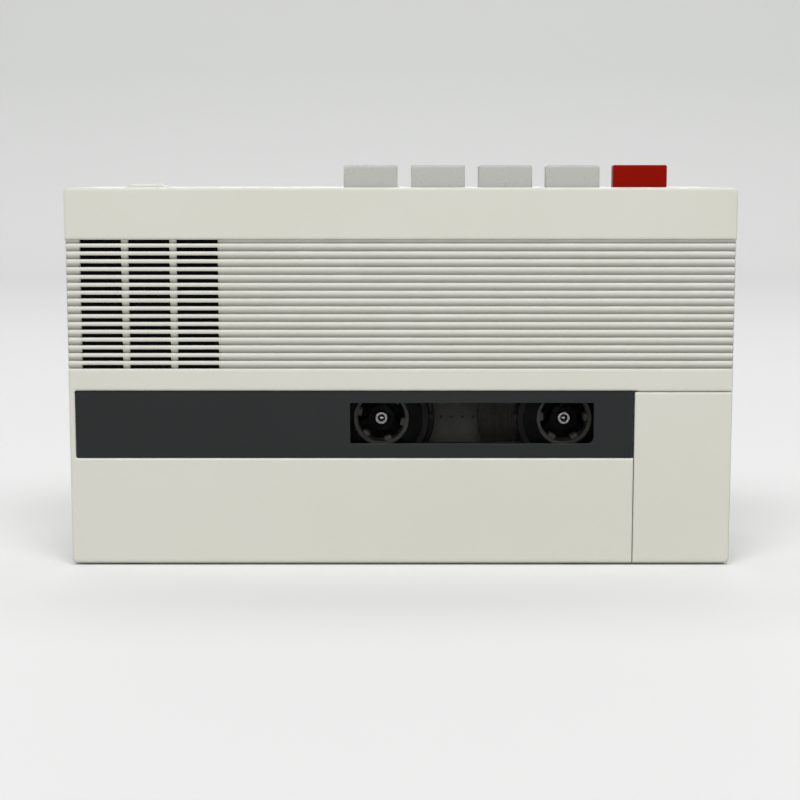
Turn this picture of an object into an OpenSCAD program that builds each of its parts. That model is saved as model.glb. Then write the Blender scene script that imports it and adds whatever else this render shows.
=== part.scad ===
// Portable cassette recorder: flat upright case, ribbed cassette lid on the front, piano keys on top.
// Millimetres. +X is right seen from the front, +Y is back, +Z is up; the origin is the middle of the base.

/* [Body] */
// Overall width of the case
body_w = 150; // [149:0.5:160]
// Overall height of the case without the keys
body_h = 85.5; // [85.5:0.5:92]
// Overall depth of the case
body_d = 46; // [46:0.5:54]
// Wall thickness of the case shells
wall = 2.2; // [1.8:0.1:2.4]
// Radius of the case corners seen from the front
corner_r = 1.2; // [0.6:0.1:2]
// Height of the plain band above the lid
band_h = 11.43; // [11:0.01:12]
// Depth of the rear shell
rear_d = 10; // [9:0.5:11]

/* [Lid] */
// Thickness of the lid's front wall
lid_wall = 2.4; // [2.2:0.1:2.8]
// Step from the case side to the lid side
lid_side_gap = 0.15; // [0.1:0.05:0.3]
// Height of the lid's lower edge above the table
lid_foot_gap = 0.4; // [0.4:0.1:0.8]
// Depth of the lid's side skirts behind the front face
lid_skirt_d = 9; // [8:0.5:9.4]
// Height of the hinge axis above the table
hinge_z = 6; // [6:0.1:6.4]
// Distance of the hinge axis behind the front face
hinge_in = 2.6; // [2.5:0.05:2.6]
// Radius of the hinge pins
hinge_pin_r = 0.6; // [0.5:0.05:0.7]

/* [Grille] */
// Number of grooves below the band
groove_n = 17; // [12:1:17]
// Distance from groove to groove
groove_pitch = 1.7575; // [1.7:0.0025:1.8]
// Height of one groove
groove_h = 0.88; // [0.8:0.02:1]
// Depth of one groove
groove_depth = 0.75; // [0.5:0.05:0.9]
// Number of sound slot columns
slot_cols = 3; // [2:1:3]
// Width of one sound slot
slot_w = 9.25; // [8:0.05:9.5]
// Distance from slot column to slot column
slot_pitch = 10.8; // [10.5:0.05:11]
// Height of one sound slot
slot_h = 0.92; // [0.7:0.02:0.94]
// Thickness of the lid's wall behind the sound slots
grille_t = 1.2; // [1.1:0.05:1.4]

/* [Dark strip] */
// Height of the strip's lower edge above the table
strip_z0 = 24.64; // [24:0.02:25]
// Height of the recess for the strip
strip_h = 15.52; // [15:0.02:15.6]
// Depth of the recess for the strip
strip_recess = 1.2; // [1:0.05:1.3]
// Distance from the recess floor to the strip's front face
strip_t = 1; // [0.8:0.05:1]
// Width of the cassette window
window_w = 55.2; // [52:0.1:56]
// Height of the cassette window
window_h = 9.35; // [8:0.05:9.8]

/* [Lid release] */
// Width of the press plate
release_w = 21.95; // [20:0.05:22]
// Height of the press plate
release_h = 39.35; // [38:0.05:39.4]
// Thickness of the press plate
release_t = 2; // [1.8:0.05:2.1]
// How far the plate presses in
release_travel = 1.5; // [1:0.1:1.5]
// Radius of the two guide posts
post_r = 1.5; // [1.2:0.1:1.6]

/* [Keys] */
// Width of one key
key_w = 12.7; // [12:0.1:13.5]
// Depth of one key from front to back
key_d = 3.2; // [3:0.1:3.6]
// Distance from key to key
key_pitch = 15.88; // [15.6:0.02:15.9]
// Height of the keys above the case
key_proud = 5.2; // [4:0.1:6]
// How far a key presses down
key_travel = 3.5; // [3:0.1:3.5]
// Rounding radius on the key's top edges
key_round = 0.4; // [0.4:0.1:1.2]

/* [Volume slider] */
// Length of the slider knob
knob_l = 9.5; // [8:0.1:11]
// Height of the knob above the case
knob_proud = 0.75; // [0.5:0.05:1.5]
// Travel of the knob along the slot
knob_travel = 25; // [20:0.5:25]

/* [Speaker] */
// Radius of the speaker frame
speaker_r = 18; // [16:0.1:18]
// Radius of the speaker magnet
magnet_r = 9; // [7:0.1:10]

/* [Drive] */
// Radius of the capstan shaft
capstan_r = 1; // [0.9:0.05:1.2]
// Radius of the motor can
motor_r = 12; // [10:0.1:12]
// Radius of the motor pulley
motor_pulley_r = 3; // [2.5:0.1:4]
// Radius of the pinch roller
roller_r = 5; // [4:0.1:5]
// How far the head plate moves to the tape
head_travel = 3; // [2.5:0.1:3]
// Thickness of the deck plate
deck_t = 1.2; // [1:0.05:1.3]

/* [Hidden] */
$fn = 48;
// Clearance between parts that slide past each other
slide_gap = 0.3;
// Radial clearance of a turning shaft in its bearing
run_gap = 0.05;
// Radial clearance of a fastener or pin that is fixed in its hole
fix_gap = 0.02;
// Overlap that joins the pieces of one moulding
join = 0.2;
// Extra length of a cutter beyond the wall it cuts
over = 1;

// Faces of the case
half_w = body_w / 2;
front_y = -body_d / 2;
back_y = body_d / 2;
split_y = back_y - rear_d;
in_x = half_w - wall;
roof_z = body_h - wall;
band_z = body_h - band_h;
floor_gap = 0.8;
arc_n = 40;
full_turn = 360;

// Batteries: standard AA cells against the rear shell
cell_r = 7.1;
cell_l = 49.3;
nub_r = 2.7;
nub_l = 1.2;
cell_n = 4;
cell_space = 1;
cell_pitch = 2 * cell_r + cell_space;
cell_front_gap = 0.7;
cell_back_gap = 0.9;
cell_gap = 1.15;
box_wall = 1.2;
box_side = 1.3;
cover_t = 2;
cell_y = back_y - cover_t - cell_back_gap - cell_r;
box_x0 = -in_x + box_side;
box_room = cell_l + nub_l + 2 * cell_gap;
box_x1 = box_x0 + box_room + 2 * box_wall;
cell_x0 = box_x0 + box_wall + cell_gap;
box_z0 = wall + floor_gap;
cell_z0 = box_z0 + box_wall + cell_r + slide_gap;
box_z1 = cell_z0 + (cell_n - 1) * cell_pitch + cell_r + slide_gap + box_wall;
box_y0 = cell_y - cell_r - cell_front_gap - box_wall;
leaf_half = 5;
leaf_t = 0.5;

// Battery cover
cover_in = 0.7;
cover_edge = 3;
cover_x1 = box_x1 - cover_in;
cover_z0 = box_z0 + cover_edge;
cover_z1 = box_z1 - cover_edge;
tongue = 1;
tongue_t = 0.6;
hatch_rim = 1.5;
grip_n = 5;
grip_in = 6;
grip_w = 1.2;
grip_pitch = 2.4;
grip_d = 0.5;
grip_half = 8;

// Deck plate, in front of the cells
deck_room = 2.8;
deck_y1 = box_y0 - deck_room;
deck_y0 = deck_y1 - deck_t;
rest_gap = 1.65;

// Compact cassette: standard sizes, tape edge up
cas_w = 100.4;
cas_h = 63.8;
cas_t = 8.7;
cas_thick_t = 12;
cas_thick_h = 17.2;
cas_thick_foot = 31.5;
cas_thick_top = 34;
cas_wall = 1.2;
cas_round = 1.6;
cas_side = 5.85;
hub_pitch = 42.5;
hub_line = 29.2;
hub_r = 10.9;
hub_bore_r = 5.6;
hub_tip_r = 4.68;
hub_hole_r = 6.4;
hub_w = 6;
tooth_n = 6;
tooth_w = 1.6;
tooth_d = 3.1;
takeup_turn = 13;
tape_w = 3.8;
full_r = 20;
empty_r = 12.4;
cas_x = in_x - cas_side - cas_w / 2;
cas_z0 = wall + floor_gap;
cas_z1 = cas_z0 + cas_h;
cas_x0 = cas_x - cas_w / 2;
cas_x1 = cas_x + cas_w / 2;
cas_y = deck_y0 - rest_gap - cas_thick_t / 2;
cas_front_y = cas_y - cas_t / 2;
cas_back_y = cas_y + cas_t / 2;
thick_front_y = cas_y - cas_thick_t / 2;
thick_back_y = cas_y + cas_thick_t / 2;
thick_z = cas_z1 - cas_thick_h;
hub_z = cas_z0 + hub_line;
hub_left = [cas_x - hub_pitch / 2, hub_z];
hub_right = [cas_x + hub_pitch / 2, hub_z];
peep_gap = 0.4;
peep_half = 5.6;
peep_fit = 0.1;
head_notch = 8.5;
erase_notch = 4.6;
roller_notch = 6.3;
notch_d = 5;
notch_z = cas_z1 - notch_d;
erase_dx = 15.5;
capstan_dx = 17.55;
capstan_drop = 6.2;
capstan_hole_r = 2.6;
cas_screw_in = 4;
cas_screw_drop = 6;
cas_screw_mid = 3;
cas_screw_r = 0.8;
cas_screw_head_r = 1.5;
cas_screw_head_t = 0.8;
cas_boss_r = 2.4;
cas_screws = [
    [cas_x0 + cas_screw_in, cas_z0 + cas_screw_in],
    [cas_x1 - cas_screw_in, cas_z0 + cas_screw_in],
    [cas_x0 + cas_screw_in, cas_z1 - cas_screw_drop],
    [cas_x1 - cas_screw_in, cas_z1 - cas_screw_drop],
    [cas_x, thick_z + cas_screw_mid]
];

// Lid
lid_half = half_w - lid_side_gap;
lid_z0 = lid_foot_gap;
lid_back_y = front_y + lid_wall;
skirt_y = front_y + lid_skirt_d;
skirt_t = wall;
lid_gap = 0.4;
foot_r = 0.6;
jamb_y = skirt_y + lid_gap;
lid_top_z = band_z - groove_h;
ledge_z = band_z - groove_h / 2;
lid_seam = 0.08;
rabbet_z = band_z - lid_seam;
lip_y = front_y + lid_wall + wall;
hinge_y = front_y + hinge_in;
lug_wall = 0.7;
lug_r = hinge_pin_r + lug_wall;
roll_r = norm([lip_y - hinge_y, hinge_z - lid_z0]);
sill_y = hinge_y + roll_r + slide_gap;
lug_w = 6;
lug_post = 1.5;
ear_w = 4;
ear_in = lug_w / 2 + slide_gap;
pin_l = lug_w + 2 * (ear_w + slide_gap);
hinge_left = 14;
hinge_right = 35;
hinge_xs = [-half_w + hinge_left, half_w - hinge_right];
skirt_lift = 0.2;
skirt_z0 = hinge_z + skirt_lift;
low_jamb = skirt_z0 - 2 * slide_gap;
groove_zone_z = band_z - (groove_n - 1) * groove_pitch - groove_h;
slot_margin = 3.25;
slot_x0 = -half_w + slot_margin;
screen_t = 0.4;
screen_lap = 1;
screen_x1 = slot_x0 + slot_cols * slot_pitch;
screen_z0 = groove_zone_z - screen_lap;
cheek = 2;

// Lid release
release_x1 = lid_half;
release_x0 = lid_half - release_w;
release_z1 = lid_z0 + release_h;
release_y1 = front_y + release_t;
seam = 0.2;
part_x = release_x0 - seam;
part_z = release_z1 + seam;
seat_t = 1.5;
seat_y0 = release_y1 + release_travel + slide_gap;
seat_y1 = seat_y0 + seat_t;
post_in = 6.2;
post_x = half_w - post_in;
post_foot = 9.6;
post_head = 5.75;
posts = [[post_x, lid_z0 + post_foot], [post_x, release_z1 - post_head]];
post_reach = 4.7;
post_y1 = seat_y1 + post_reach;
clip_t = 0.5;
clip_rim = 0.8;
apron_t = 0.8;
apron_x1 = lid_half - skirt_t - slide_gap;

// Strip and window
strip_fit = 0.15;
strip_margin = 1.25;
strip_x0 = -lid_half + strip_margin;
strip_x1 = part_x - strip_fit;
strip_z1 = strip_z0 + strip_h;
strip_floor_y = front_y + strip_recess;
strip_r = 0.3;
window_left = 28.25;
window_lift = 3.31;
window_r = 0.3;
window_corner = 1.4;
window_x0 = cas_x - window_left;
window_x1 = window_x0 + window_w;
window_z0 = strip_z0 + window_lift;
window_z1 = window_z0 + window_h;
lens_lap = 1;
lens_t = 1;

// Deck outline and screws
deck_lap = 0.55;
deck_side = 0.4;
deck_foot = 0.4;
deck_head = 7.5;
deck_x0 = cas_x0 - deck_lap;
deck_x1 = in_x - deck_side;
deck_z0 = wall + deck_foot;
deck_z1 = body_h - deck_head;
deck_screw_r = 1.1;
deck_screw_head_r = 2.2;
deck_screw_head_t = 1.2;
deck_in_left = 9;
deck_in_right = 3.9;
deck_in_low = 3.6;
deck_in_top = 3;
deck_holes = [
    [deck_x0 + deck_in_left, deck_z0 + deck_in_low],
    [deck_x1 - deck_in_right, deck_z0 + deck_in_low],
    [deck_x0 + deck_in_left, deck_z1 - deck_in_top],
    [deck_x1 - deck_in_right, deck_z1 - deck_in_top]
];
rest_r = 2;
rest_in = 6;
rest_low = 12;
rest_top = 4;
boss_half = 3.5;
boss_d = 2.6;
boss_y1 = deck_y1 + boss_d;
boss_end = 0.6;

// Screws of the rear shell
screw_r = 1.1;
screw_head_r = 2.4;
screw_head_t = 1.4;
screw_in = 3.2;
screw_bite = 6;
screw_sink = 2.6;
screw_boss = 3;
screw_boss_d = 7;
screw_tube = 1.2;
screw_beside_box = 4.3;
sink_y = back_y - screw_sink;
cross_half = 1.5;
cross_w = 0.6;
cross_d = 0.7;
case_holes = [
    [-in_x + screw_in, roof_z - screw_in],
    [in_x - screw_in, roof_z - screw_in],
    [in_x - screw_in, wall + screw_in],
    [box_x1 + screw_beside_box, wall + screw_in]
];

// Belts, flywheel and motor
capstan = [cas_x - capstan_dx, cas_z1 - capstan_drop];
bearing_r = 3;
bearing_out = 1.1;
wheel_gap = 1.5;
pulley_gap = 1;
pulley_step = 4;
wheel_lift = 0.4;
flywheel_room = 2.8;
flywheel_t = 5;
flywheel_y0 = deck_y1 + flywheel_room;
flywheel_y1 = flywheel_y0 + flywheel_t;
drum_r = 5;
drum_t = 4;
drum_y1 = flywheel_y1 + drum_t;
belt_w = 2.5;
belt_t = 1;
belt_slack = 0.1;
belt_edge = 0.6;
belt_y0 = flywheel_y0 + belt_edge;
takeup_y0 = flywheel_y1 + 2 * wheel_lift;
motor_in = 20.8;
motor_up = 14.8;
motor_stand = 7.3;
motor = [in_x - motor_in, wall + motor_up];
motor_y0 = deck_y1 + motor_stand;
motor_y1 = back_y - wall - slide_gap;
bracket_t = 1;
bracket_reach = 10;
bracket_edge = 2;
stand_r = 1.8;
motor_bore = 3;

// Spindles
flange_r = 9;
flange_t = 1.8;
barrel_r = 3;
nose = 2;
nose_tip = 1.2;
fin_n = 3;
fin_r = 5.2;
fin_w = 1.2;
fin_back = 0.6;
fin_turn = full_turn / tooth_n / 2;
shaft_r = 1.5;
shaft_end = 1.5;

// Heads and roller
head_x = cas_x;
head_gap = 1.2;
head_z0 = cas_z1 + head_gap;
head_half = 6;
head_h = 8;
head_out = 3.85;
head_bevel = 1.2;
head_cheek = 2;
erase_half = 3.2;
erase_lift = 0.6;
erase_h = 6.4;
erase_out = 2.8;
plate_t = 1;
plate_y1 = deck_y0 - wheel_lift;
plate_y0 = plate_y1 - plate_t;
plate_z0 = cas_z1 + floor_gap;
plate_z1 = deck_z1 - plate_t / 2;
plate_left = 11.75;
plate_right = 27.25;
guide_r = 1.2;
guide_lift = 4.9;
guide_out = 0.5;
guide_left = 8.5;
guide_right = 23.5;
guide_pins = [[head_x - guide_left, plate_z0 + guide_lift], [head_x + guide_right, plate_z0 + guide_lift]];
pivot_dx = 13.7;
pivot_dz = 6.7;
pivot_out = 1.6;
pivot_boss_r = 3;
roller_dx = 1.55;
roller_dz = 6.4;
roller_w = 4.5;
roller_pin_r = 0.9;
roller_collar_r = 1.8;
arm_t = 1.2;
arm_up = 2;
arm_down = 2.4;
pivot = [capstan[0] - pivot_dx, cas_z1 + pivot_dz];
roller = [capstan[0] + roller_dx, cas_z1 + roller_dz];

// Keys
key_n = 5;
keys_in = 79.9;
key_sink = 1.3;
key_gap = 0.4;
key_xs = [for (i = [0:key_n - 1]) in_x - keys_in + i * key_pitch];
key_top = body_h + key_proud;
key_z0 = roof_z - key_sink;
stem_w = 8;
stem_t = 1.2;
stem_gap = 1.2;
stem_y0 = deck_y1 + stem_gap;
key_y0 = stem_y0 - (key_d - stem_t) / 2;
key_y1 = key_y0 + key_d;
foot_in = 0.5;
stem_z0 = cas_z1 + head_gap;
tab_half = 2.5;
tab_h = 3.4;
tab_gap = 0.6;
tab_x = [key_xs[1] - tab_half, key_xs[1] + tab_half];
tab_z = [stem_z0 - tab_gap - tab_h, stem_z0 - tab_gap];
spring_solid = 2.5;
spring_l = key_travel + spring_solid;
spring_r = 1.6;
spring_wire = 0.5;
spring_gap = 0.2;
spring_y = stem_y0 + stem_t + spring_gap + spring_r;
shelf_z1 = key_z0 - spring_l;
shelf_t = 1;
shelf_h = 5;
shelf_side = 2.1;
shelf_lip = 1;
shelf_y1 = spring_y + spring_r + shelf_lip;

// Wheels in the room between the battery box and the shelf of the key springs
flywheel_r = min(capstan[0] - box_x1 - wheel_gap, shelf_z1 - shelf_t - wheel_lift - capstan[1]);
takeup_pulley_r = min(hub_left[0] - box_x1 - pulley_gap, drum_r + pulley_step);

// Volume slider
pot_w = 7;
pot_h = 7;
pot_foot = 2.5;
pot_drop = 2.3;
pot_z1 = roof_z - pot_drop;
pot_slot = 1.5;
knob_in = 14.7;
knob_x = -half_w + knob_in;
knob_y = deck_y1 + pot_w / 2 + slide_gap;
knob_w = 5.4;
knob_sink = 0.9;
knob_slope = 1.2;
neck_w = 1.2;
neck_l = 2.4;
neck_reach = 1.1;
track_x0 = knob_x - knob_l / 2 - slide_gap;
track_x1 = knob_x + knob_l / 2 + knob_travel + slide_gap;

// Speaker
speaker_side = 0.8;
speaker_drop = 14.57;
speaker = [-in_x + speaker_side + speaker_r, band_z - speaker_drop];
baffle_t = 1.6;
baffle_in = 2;
baffle_edge = 3.5;
baffle_y0 = jamb_y + baffle_in;
baffle_z0 = speaker[1] - speaker_r - baffle_edge;
baffle_gap = 1;
baffle_x1 = deck_x0 - baffle_gap;
frame_t = 1.4;
frame_w = 2.4;
basket_r = speaker_r - frame_w;
basket_d = 7.6;
basket_wall = 1.4;
basket_back = 1.2;
basket_y1 = baffle_y0 + basket_d;
magnet_gap = 1;
magnet_y1 = box_y0 - magnet_gap;
cone_skin = 0.5;
cone_rim = 1.4;
cone_throat = 4;
pole_r = 3;

// Circuit board
board_t = 1.6;
board_stand = 1.2;
board_post_r = 2;
board_post_in = 4;
board_side = 2.4;
board_gap = 7;
board_y0 = back_y - wall - board_stand - board_t;
board_x0 = box_x1 + board_side;
board_x1 = in_x - board_side;
board_z0 = motor[1] + motor_r + board_gap;
board_z1 = case_holes[1][1] - board_gap;
can_r = 3;
can_h = 6;
can_spots = [[0.45, 0.28], [0.6, 0.74], [0.72, 0.39], [0.85, 0.72]];
chip_l = 7;
chip_w = 3.2;
chip_h = 3;
chip_spots = [[0.5, 0.61], [0.66, 0.15], [0.8, 0.47]];

// Lid latch
hook_in = 3.9;
hook_x0 = in_x - hook_in;
hook_t = 1.5;
hook_barb = 0.6;
hook_lift = 4;
hook_h = 6;
hook_reach = 4.1;
hook_z = [strip_z1 + hook_lift, strip_z1 + hook_lift + hook_h];
hook_y1 = jamb_y + hook_reach;
latch_t = 0.6;
latch_edge = 1;
latch_back = 3;
latch_y = [jamb_y + latch_edge, deck_y0 - latch_back];
latch_z = [posts[1][1] - post_r - latch_edge, hook_z[1] + latch_edge];

// Colours
shell_white = [0.81, 0.8, 0.76];
key_grey = [0.71, 0.71, 0.69];
key_red = [0.62, 0.09, 0.03];
strip_grey = [0.18, 0.19, 0.19];
dark = [0.07, 0.07, 0.07];
steel = [0.72, 0.72, 0.7];
brass = [0.75, 0.6, 0.3];
smoke = [0.25, 0.25, 0.25];
tape_brown = [0.2, 0.14, 0.1];
board_brown = [0.45, 0.36, 0.18];

// Box between two corners given as ranges
module box(x, y, z) {
    translate([x[0], y[0], z[0]])
        cube([x[1] - x[0], y[1] - y[0], z[1] - z[0]]);
}

// Round bar along Y at the point p = [x, z]
module rod_y(r, p, y) {
    translate([p[0], y[1], p[1]])
        rotate([90, 0, 0])
            cylinder(r = r, h = y[1] - y[0]);
}

// Round bar along X
module rod_x(r, x, y, z) {
    translate([x[0], y, z])
        rotate([0, 90, 0])
            cylinder(r = r, h = x[1] - x[0]);
}

// Rounded rectangle in two dimensions
module rounded(x, z, r) {
    translate([x[0] + r, z[0]])
        square([x[1] - x[0] - 2 * r, z[1] - z[0]]);
    translate([x[0], z[0] + r])
        square([x[1] - x[0], z[1] - z[0] - 2 * r]);
    for (cx = [x[0] + r, x[1] - r]) {
        for (cz = [z[0] + r, z[1] - r]) {
            translate([cx, cz])
                circle(r = r);
        }
    }
}

// Plate with corners rounded in the front view
module slab(x, z, r, y) {
    translate([0, y[1], 0])
        rotate([90, 0, 0])
            linear_extrude(y[1] - y[0])
                rounded(x, z, r);
}

// Solid drawn by a profile in Y and Z, carried along X
module along_x(x) {
    translate([x[0], 0, 0])
        rotate([90, 0, 90])
            linear_extrude(x[1] - x[0])
                children();
}

// Square column about a screw, tied to the walls beside it
module column(p, x, y, z) {
    box([p[0] - x[0], p[0] + x[1]], y, [p[1] - z[0], p[1] + z[1]]);
}

// Front shell: roof, sides, floor, band over the lid, speaker baffle, columns for the screws
module main_case() {
    arm_z = hinge_z - lug_r;
    color(shell_white) difference() {
        union() {
            difference() {
                slab([-half_w, half_w], [0, body_h], corner_r, [front_y, split_y]);
                box([-in_x, in_x], [front_y + wall, split_y + over], [wall, roof_z]);
                box([-body_w, body_w], [front_y - over, jamb_y], [low_jamb, band_z]);
                box([-body_w, body_w], [front_y - over, sill_y], [-over, low_jamb + join]);
            }
            difference() {
                box([-in_x - join, baffle_x1], [baffle_y0, baffle_y0 + baffle_t], [baffle_z0, roof_z + join]);
                rod_y(basket_r + slide_gap, speaker, [baffle_y0 - over, baffle_y0 + baffle_t + over]);
            }
            for (x = hinge_xs) {
                rod_x(lug_r, [x - lug_w / 2, x + lug_w / 2], hinge_y, hinge_z);
                box([x - lug_w / 2, x + lug_w / 2], [hinge_y, sill_y + lug_post], [arm_z, hinge_z]);
                box([x - lug_w / 2, x + lug_w / 2], [sill_y, sill_y + lug_post], [wall - join, arm_z + join]);
            }
            case_columns();
            for (x = [track_x0, track_x1 - pot_foot]) {
                box([x, x + pot_foot], [knob_y - pot_w / 2, knob_y + pot_w / 2], [pot_z1, roof_z + join]);
            }
        }
        for (x = hinge_xs) {
            rod_x(hinge_pin_r + run_gap, [x - lug_w, x + lug_w], hinge_y, hinge_z);
        }
        for (x = key_xs) {
            box(
                [x - key_w / 2 - key_gap, x + key_w / 2 + key_gap],
                [key_y0 - key_gap, key_y1 + key_gap],
                [roof_z - over, body_h + over]
            );
        }
        box(
            [track_x0, track_x1],
            [knob_y - knob_w / 2 - slide_gap, knob_y + knob_w / 2 + slide_gap],
            [body_h - knob_sink - slide_gap, body_h + over]
        );
        box(
            [knob_x - neck_l / 2 - slide_gap, knob_x + neck_l / 2 + knob_travel + slide_gap],
            [knob_y - neck_w / 2 - slide_gap, knob_y + neck_w / 2 + slide_gap],
            [roof_z - over, body_h]
        );
        for (p = deck_holes) {
            rod_y(deck_screw_r + fix_gap, p, [deck_y1 - over, boss_y1 - boss_end]);
        }
        for (p = case_holes) {
            rod_y(screw_r + fix_gap, p, [split_y - screw_bite, split_y + over]);
        }
    }
}

// Columns that carry the deck and the rear shell
module case_columns() {
    to_wall = in_x - deck_holes[1][0] + join;
    to_floor = deck_holes[0][1] - wall + join;
    to_roof = roof_z - deck_holes[2][1] + join;
    tie = screw_in + join;
    column(deck_holes[0], [boss_half, boss_half], [deck_y1, boss_y1], [to_floor, boss_half]);
    column(deck_holes[1], [boss_half, to_wall], [deck_y1, split_y], [to_floor, boss_half]);
    column(deck_holes[2], [boss_half, boss_half], [deck_y1, boss_y1], [boss_half, to_roof]);
    column(deck_holes[3], [boss_half, to_wall], [deck_y1, split_y], [boss_half, to_roof]);
    column(case_holes[0], [tie, screw_boss], [split_y - screw_boss_d, split_y], [screw_boss, tie]);
    column(case_holes[3], [screw_boss, screw_boss], [split_y - screw_boss_d, split_y], [tie, screw_boss]);
}

// Rear shell: tray that closes the back, with the battery hatch and screw tubes
module rear_cover() {
    tube_r = screw_head_r + screw_tube;
    color(shell_white) difference() {
        union() {
            difference() {
                slab([-half_w, half_w], [0, body_h], corner_r, [split_y, back_y]);
                box([-in_x, in_x], [split_y - over, back_y - wall], [wall, roof_z]);
            }
            for (p = case_holes) {
                rod_y(tube_r, p, [split_y, back_y - wall + join]);
            }
            for (x = [board_x0 + board_post_in, board_x1 - board_post_in]) {
                for (z = [board_z0 + board_post_in, board_z1 - board_post_in]) {
                    rod_y(board_post_r, [x, z], [board_y0 + board_t, back_y - wall + join]);
                }
            }
        }
        for (p = case_holes) {
            rod_y(screw_r + fix_gap, p, [split_y - over, back_y]);
            rod_y(screw_head_r + slide_gap, p, [sink_y, back_y + over]);
        }
        box(
            [-body_w, cover_x1 + slide_gap],
            [back_y - cover_t, back_y + over],
            [cover_z0 - slide_gap, cover_z1 + slide_gap]
        );
        box(
            [-body_w, cover_x1 + slide_gap],
            [back_y - cover_t + tongue_t - slide_gap, back_y - cover_t + 2 * tongue_t + slide_gap],
            [cover_z0 - tongue - slide_gap, cover_z1 + tongue + slide_gap]
        );
        box(
            [box_x0 + box_wall, box_x1 - box_wall - hatch_rim],
            [split_y, back_y],
            [cover_z0 + hatch_rim, cover_z1 - hatch_rim]
        );
    }
}

// Sliding battery cover with tongues along both edges and finger ribs
module battery_cover() {
    mid_z = (cover_z0 + cover_z1) / 2;
    color(shell_white) difference() {
        union() {
            box([-half_w, cover_x1], [back_y - cover_t, back_y], [cover_z0, cover_z1]);
            box(
                [-half_w + wall, cover_x1],
                [back_y - cover_t + tongue_t, back_y - cover_t + 2 * tongue_t],
                [cover_z0 - tongue, cover_z1 + tongue]
            );
        }
        for (i = [0:grip_n - 1]) {
            box(
                [-half_w + grip_in + i * grip_pitch, -half_w + grip_in + grip_w + i * grip_pitch],
                [back_y - grip_d, back_y + over],
                [mid_z - grip_half, mid_z + grip_half]
            );
        }
    }
}

// Profile of the lid's front wall: rounded foot, plain panel, saw-tooth grooves up to the band
module lid_profile() {
    teeth = [
        for (i = [groove_n - 1:-1:1])
            let (top = band_z - i * groove_pitch)
            each [
                [front_y, top - groove_h],
                [front_y + groove_depth, top - groove_h],
                [front_y, top]
            ]
    ];
    polygon(concat(
        [[lid_back_y, lid_z0 + foot_r], [front_y, lid_z0 + foot_r]],
        teeth,
        [
            [front_y, lid_top_z],
            [front_y + groove_depth, lid_top_z],
            [front_y + groove_depth * lid_seam / groove_h, rabbet_z],
            [lid_back_y, rabbet_z]
        ]
    ));
    translate([front_y + foot_r, lid_z0 + foot_r])
        circle(r = foot_r);
    translate([front_y + foot_r, lid_z0])
        square([lip_y - front_y - foot_r, foot_r + join]);
}

// Round cheek about the hinge axis that closes one end of the lid's foot
module foot_cheek(x, r) {
    intersection() {
        rod_x(r, x, hinge_y, hinge_z);
        box(x, [front_y + foot_r, skirt_y], [lid_z0 + join, skirt_z0 + join]);
    }
}

// Cassette lid: the whole front below the band, hinged along its foot
module cassette_lid() {
    skirt = [lid_back_y - join, skirt_y];
    ear_mid = ear_in + ear_w / 2;
    recess_r = strip_r + strip_fit;
    color(shell_white) difference() {
        union() {
            difference() {
                intersection() {
                    slab([-lid_half, lid_half], [lid_z0, body_h], corner_r, [front_y, skirt_y]);
                    union() {
                        along_x([-lid_half, lid_half]) lid_profile();
                        foot_cheek([-lid_half, -lid_half + skirt_t], roll_r - join);
                        box([-lid_half, -lid_half + skirt_t], skirt, [skirt_z0, ledge_z]);
                        box([lid_half - skirt_t, lid_half], skirt, [part_z, ledge_z]);
                    }
                }
                box([part_x, body_w], [front_y - over, lip_y + over], [-over, part_z]);
                slab(
                    [strip_x0, part_x + over],
                    [strip_z0, strip_z1],
                    recess_r,
                    [front_y - over, strip_floor_y]
                );
                box(
                    [window_x0 - lens_lap, window_x1 + lens_lap],
                    [front_y, lid_back_y + over],
                    [window_z0 - lens_lap, window_z1 + lens_lap]
                );
                sound_slots();
                box(
                    [-lid_half + skirt_t, screen_x1],
                    [front_y + grille_t, lid_back_y + over],
                    [screen_z0, rabbet_z + over]
                );
            }
            box([part_x - cheek, part_x], [lid_back_y - join, seat_y1], [skirt_z0, part_z + cheek]);
            box([part_x - cheek, lid_half - skirt_t], [lid_back_y - join, seat_y1], [part_z, part_z + cheek]);
            box([part_x - cheek, apron_x1], [seat_y0, seat_y1], [skirt_z0, part_z + join]);
            box([apron_x1 - apron_t, apron_x1], [seat_y0, skirt_y], [skirt_z0, part_z + join]);
            box([hook_x0, hook_x0 + hook_t], [lid_back_y - join, hook_y1], hook_z);
            box([hook_x0, hook_x0 + hook_t + hook_barb], [hook_y1 - hook_t, hook_y1], hook_z);
            for (x = hinge_xs, side = [-1, 1]) {
                rod_x(
                    lug_r,
                    [x + side * ear_mid - ear_w / 2, x + side * ear_mid + ear_w / 2],
                    hinge_y,
                    hinge_z
                );
            }
        }
        for (x = hinge_xs) {
            box(
                [x - ear_in, x + ear_in],
                [hinge_y - lug_r - slide_gap, lip_y + over],
                [lid_z0 - over, hinge_z + lug_r + lid_gap]
            );
            rod_x(hinge_pin_r + fix_gap, [x - pin_l / 2, x + pin_l / 2], hinge_y, hinge_z);
        }
        for (p = posts) {
            rod_y(post_r + run_gap, p, [seat_y0 - over, seat_y1 + over]);
        }
    }
}

// Rows of sound slots in the grooves
module sound_slots() {
    for (i = [0:groove_n - 1], c = [0:slot_cols - 1]) {
        z = band_z - i * groove_pitch - (groove_h + slot_h) / 2;
        x = slot_x0 + c * slot_pitch;
        box([x, x + slot_w], [front_y - over, lid_back_y + over], [z, z + slot_h]);
    }
}

// Pins of the lid hinge
module hinge_pins() {
    color(steel) for (x = hinge_xs) {
        rod_x(hinge_pin_r, [x - pin_l / 2, x + pin_l / 2], hinge_y, hinge_z);
    }
}

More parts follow.
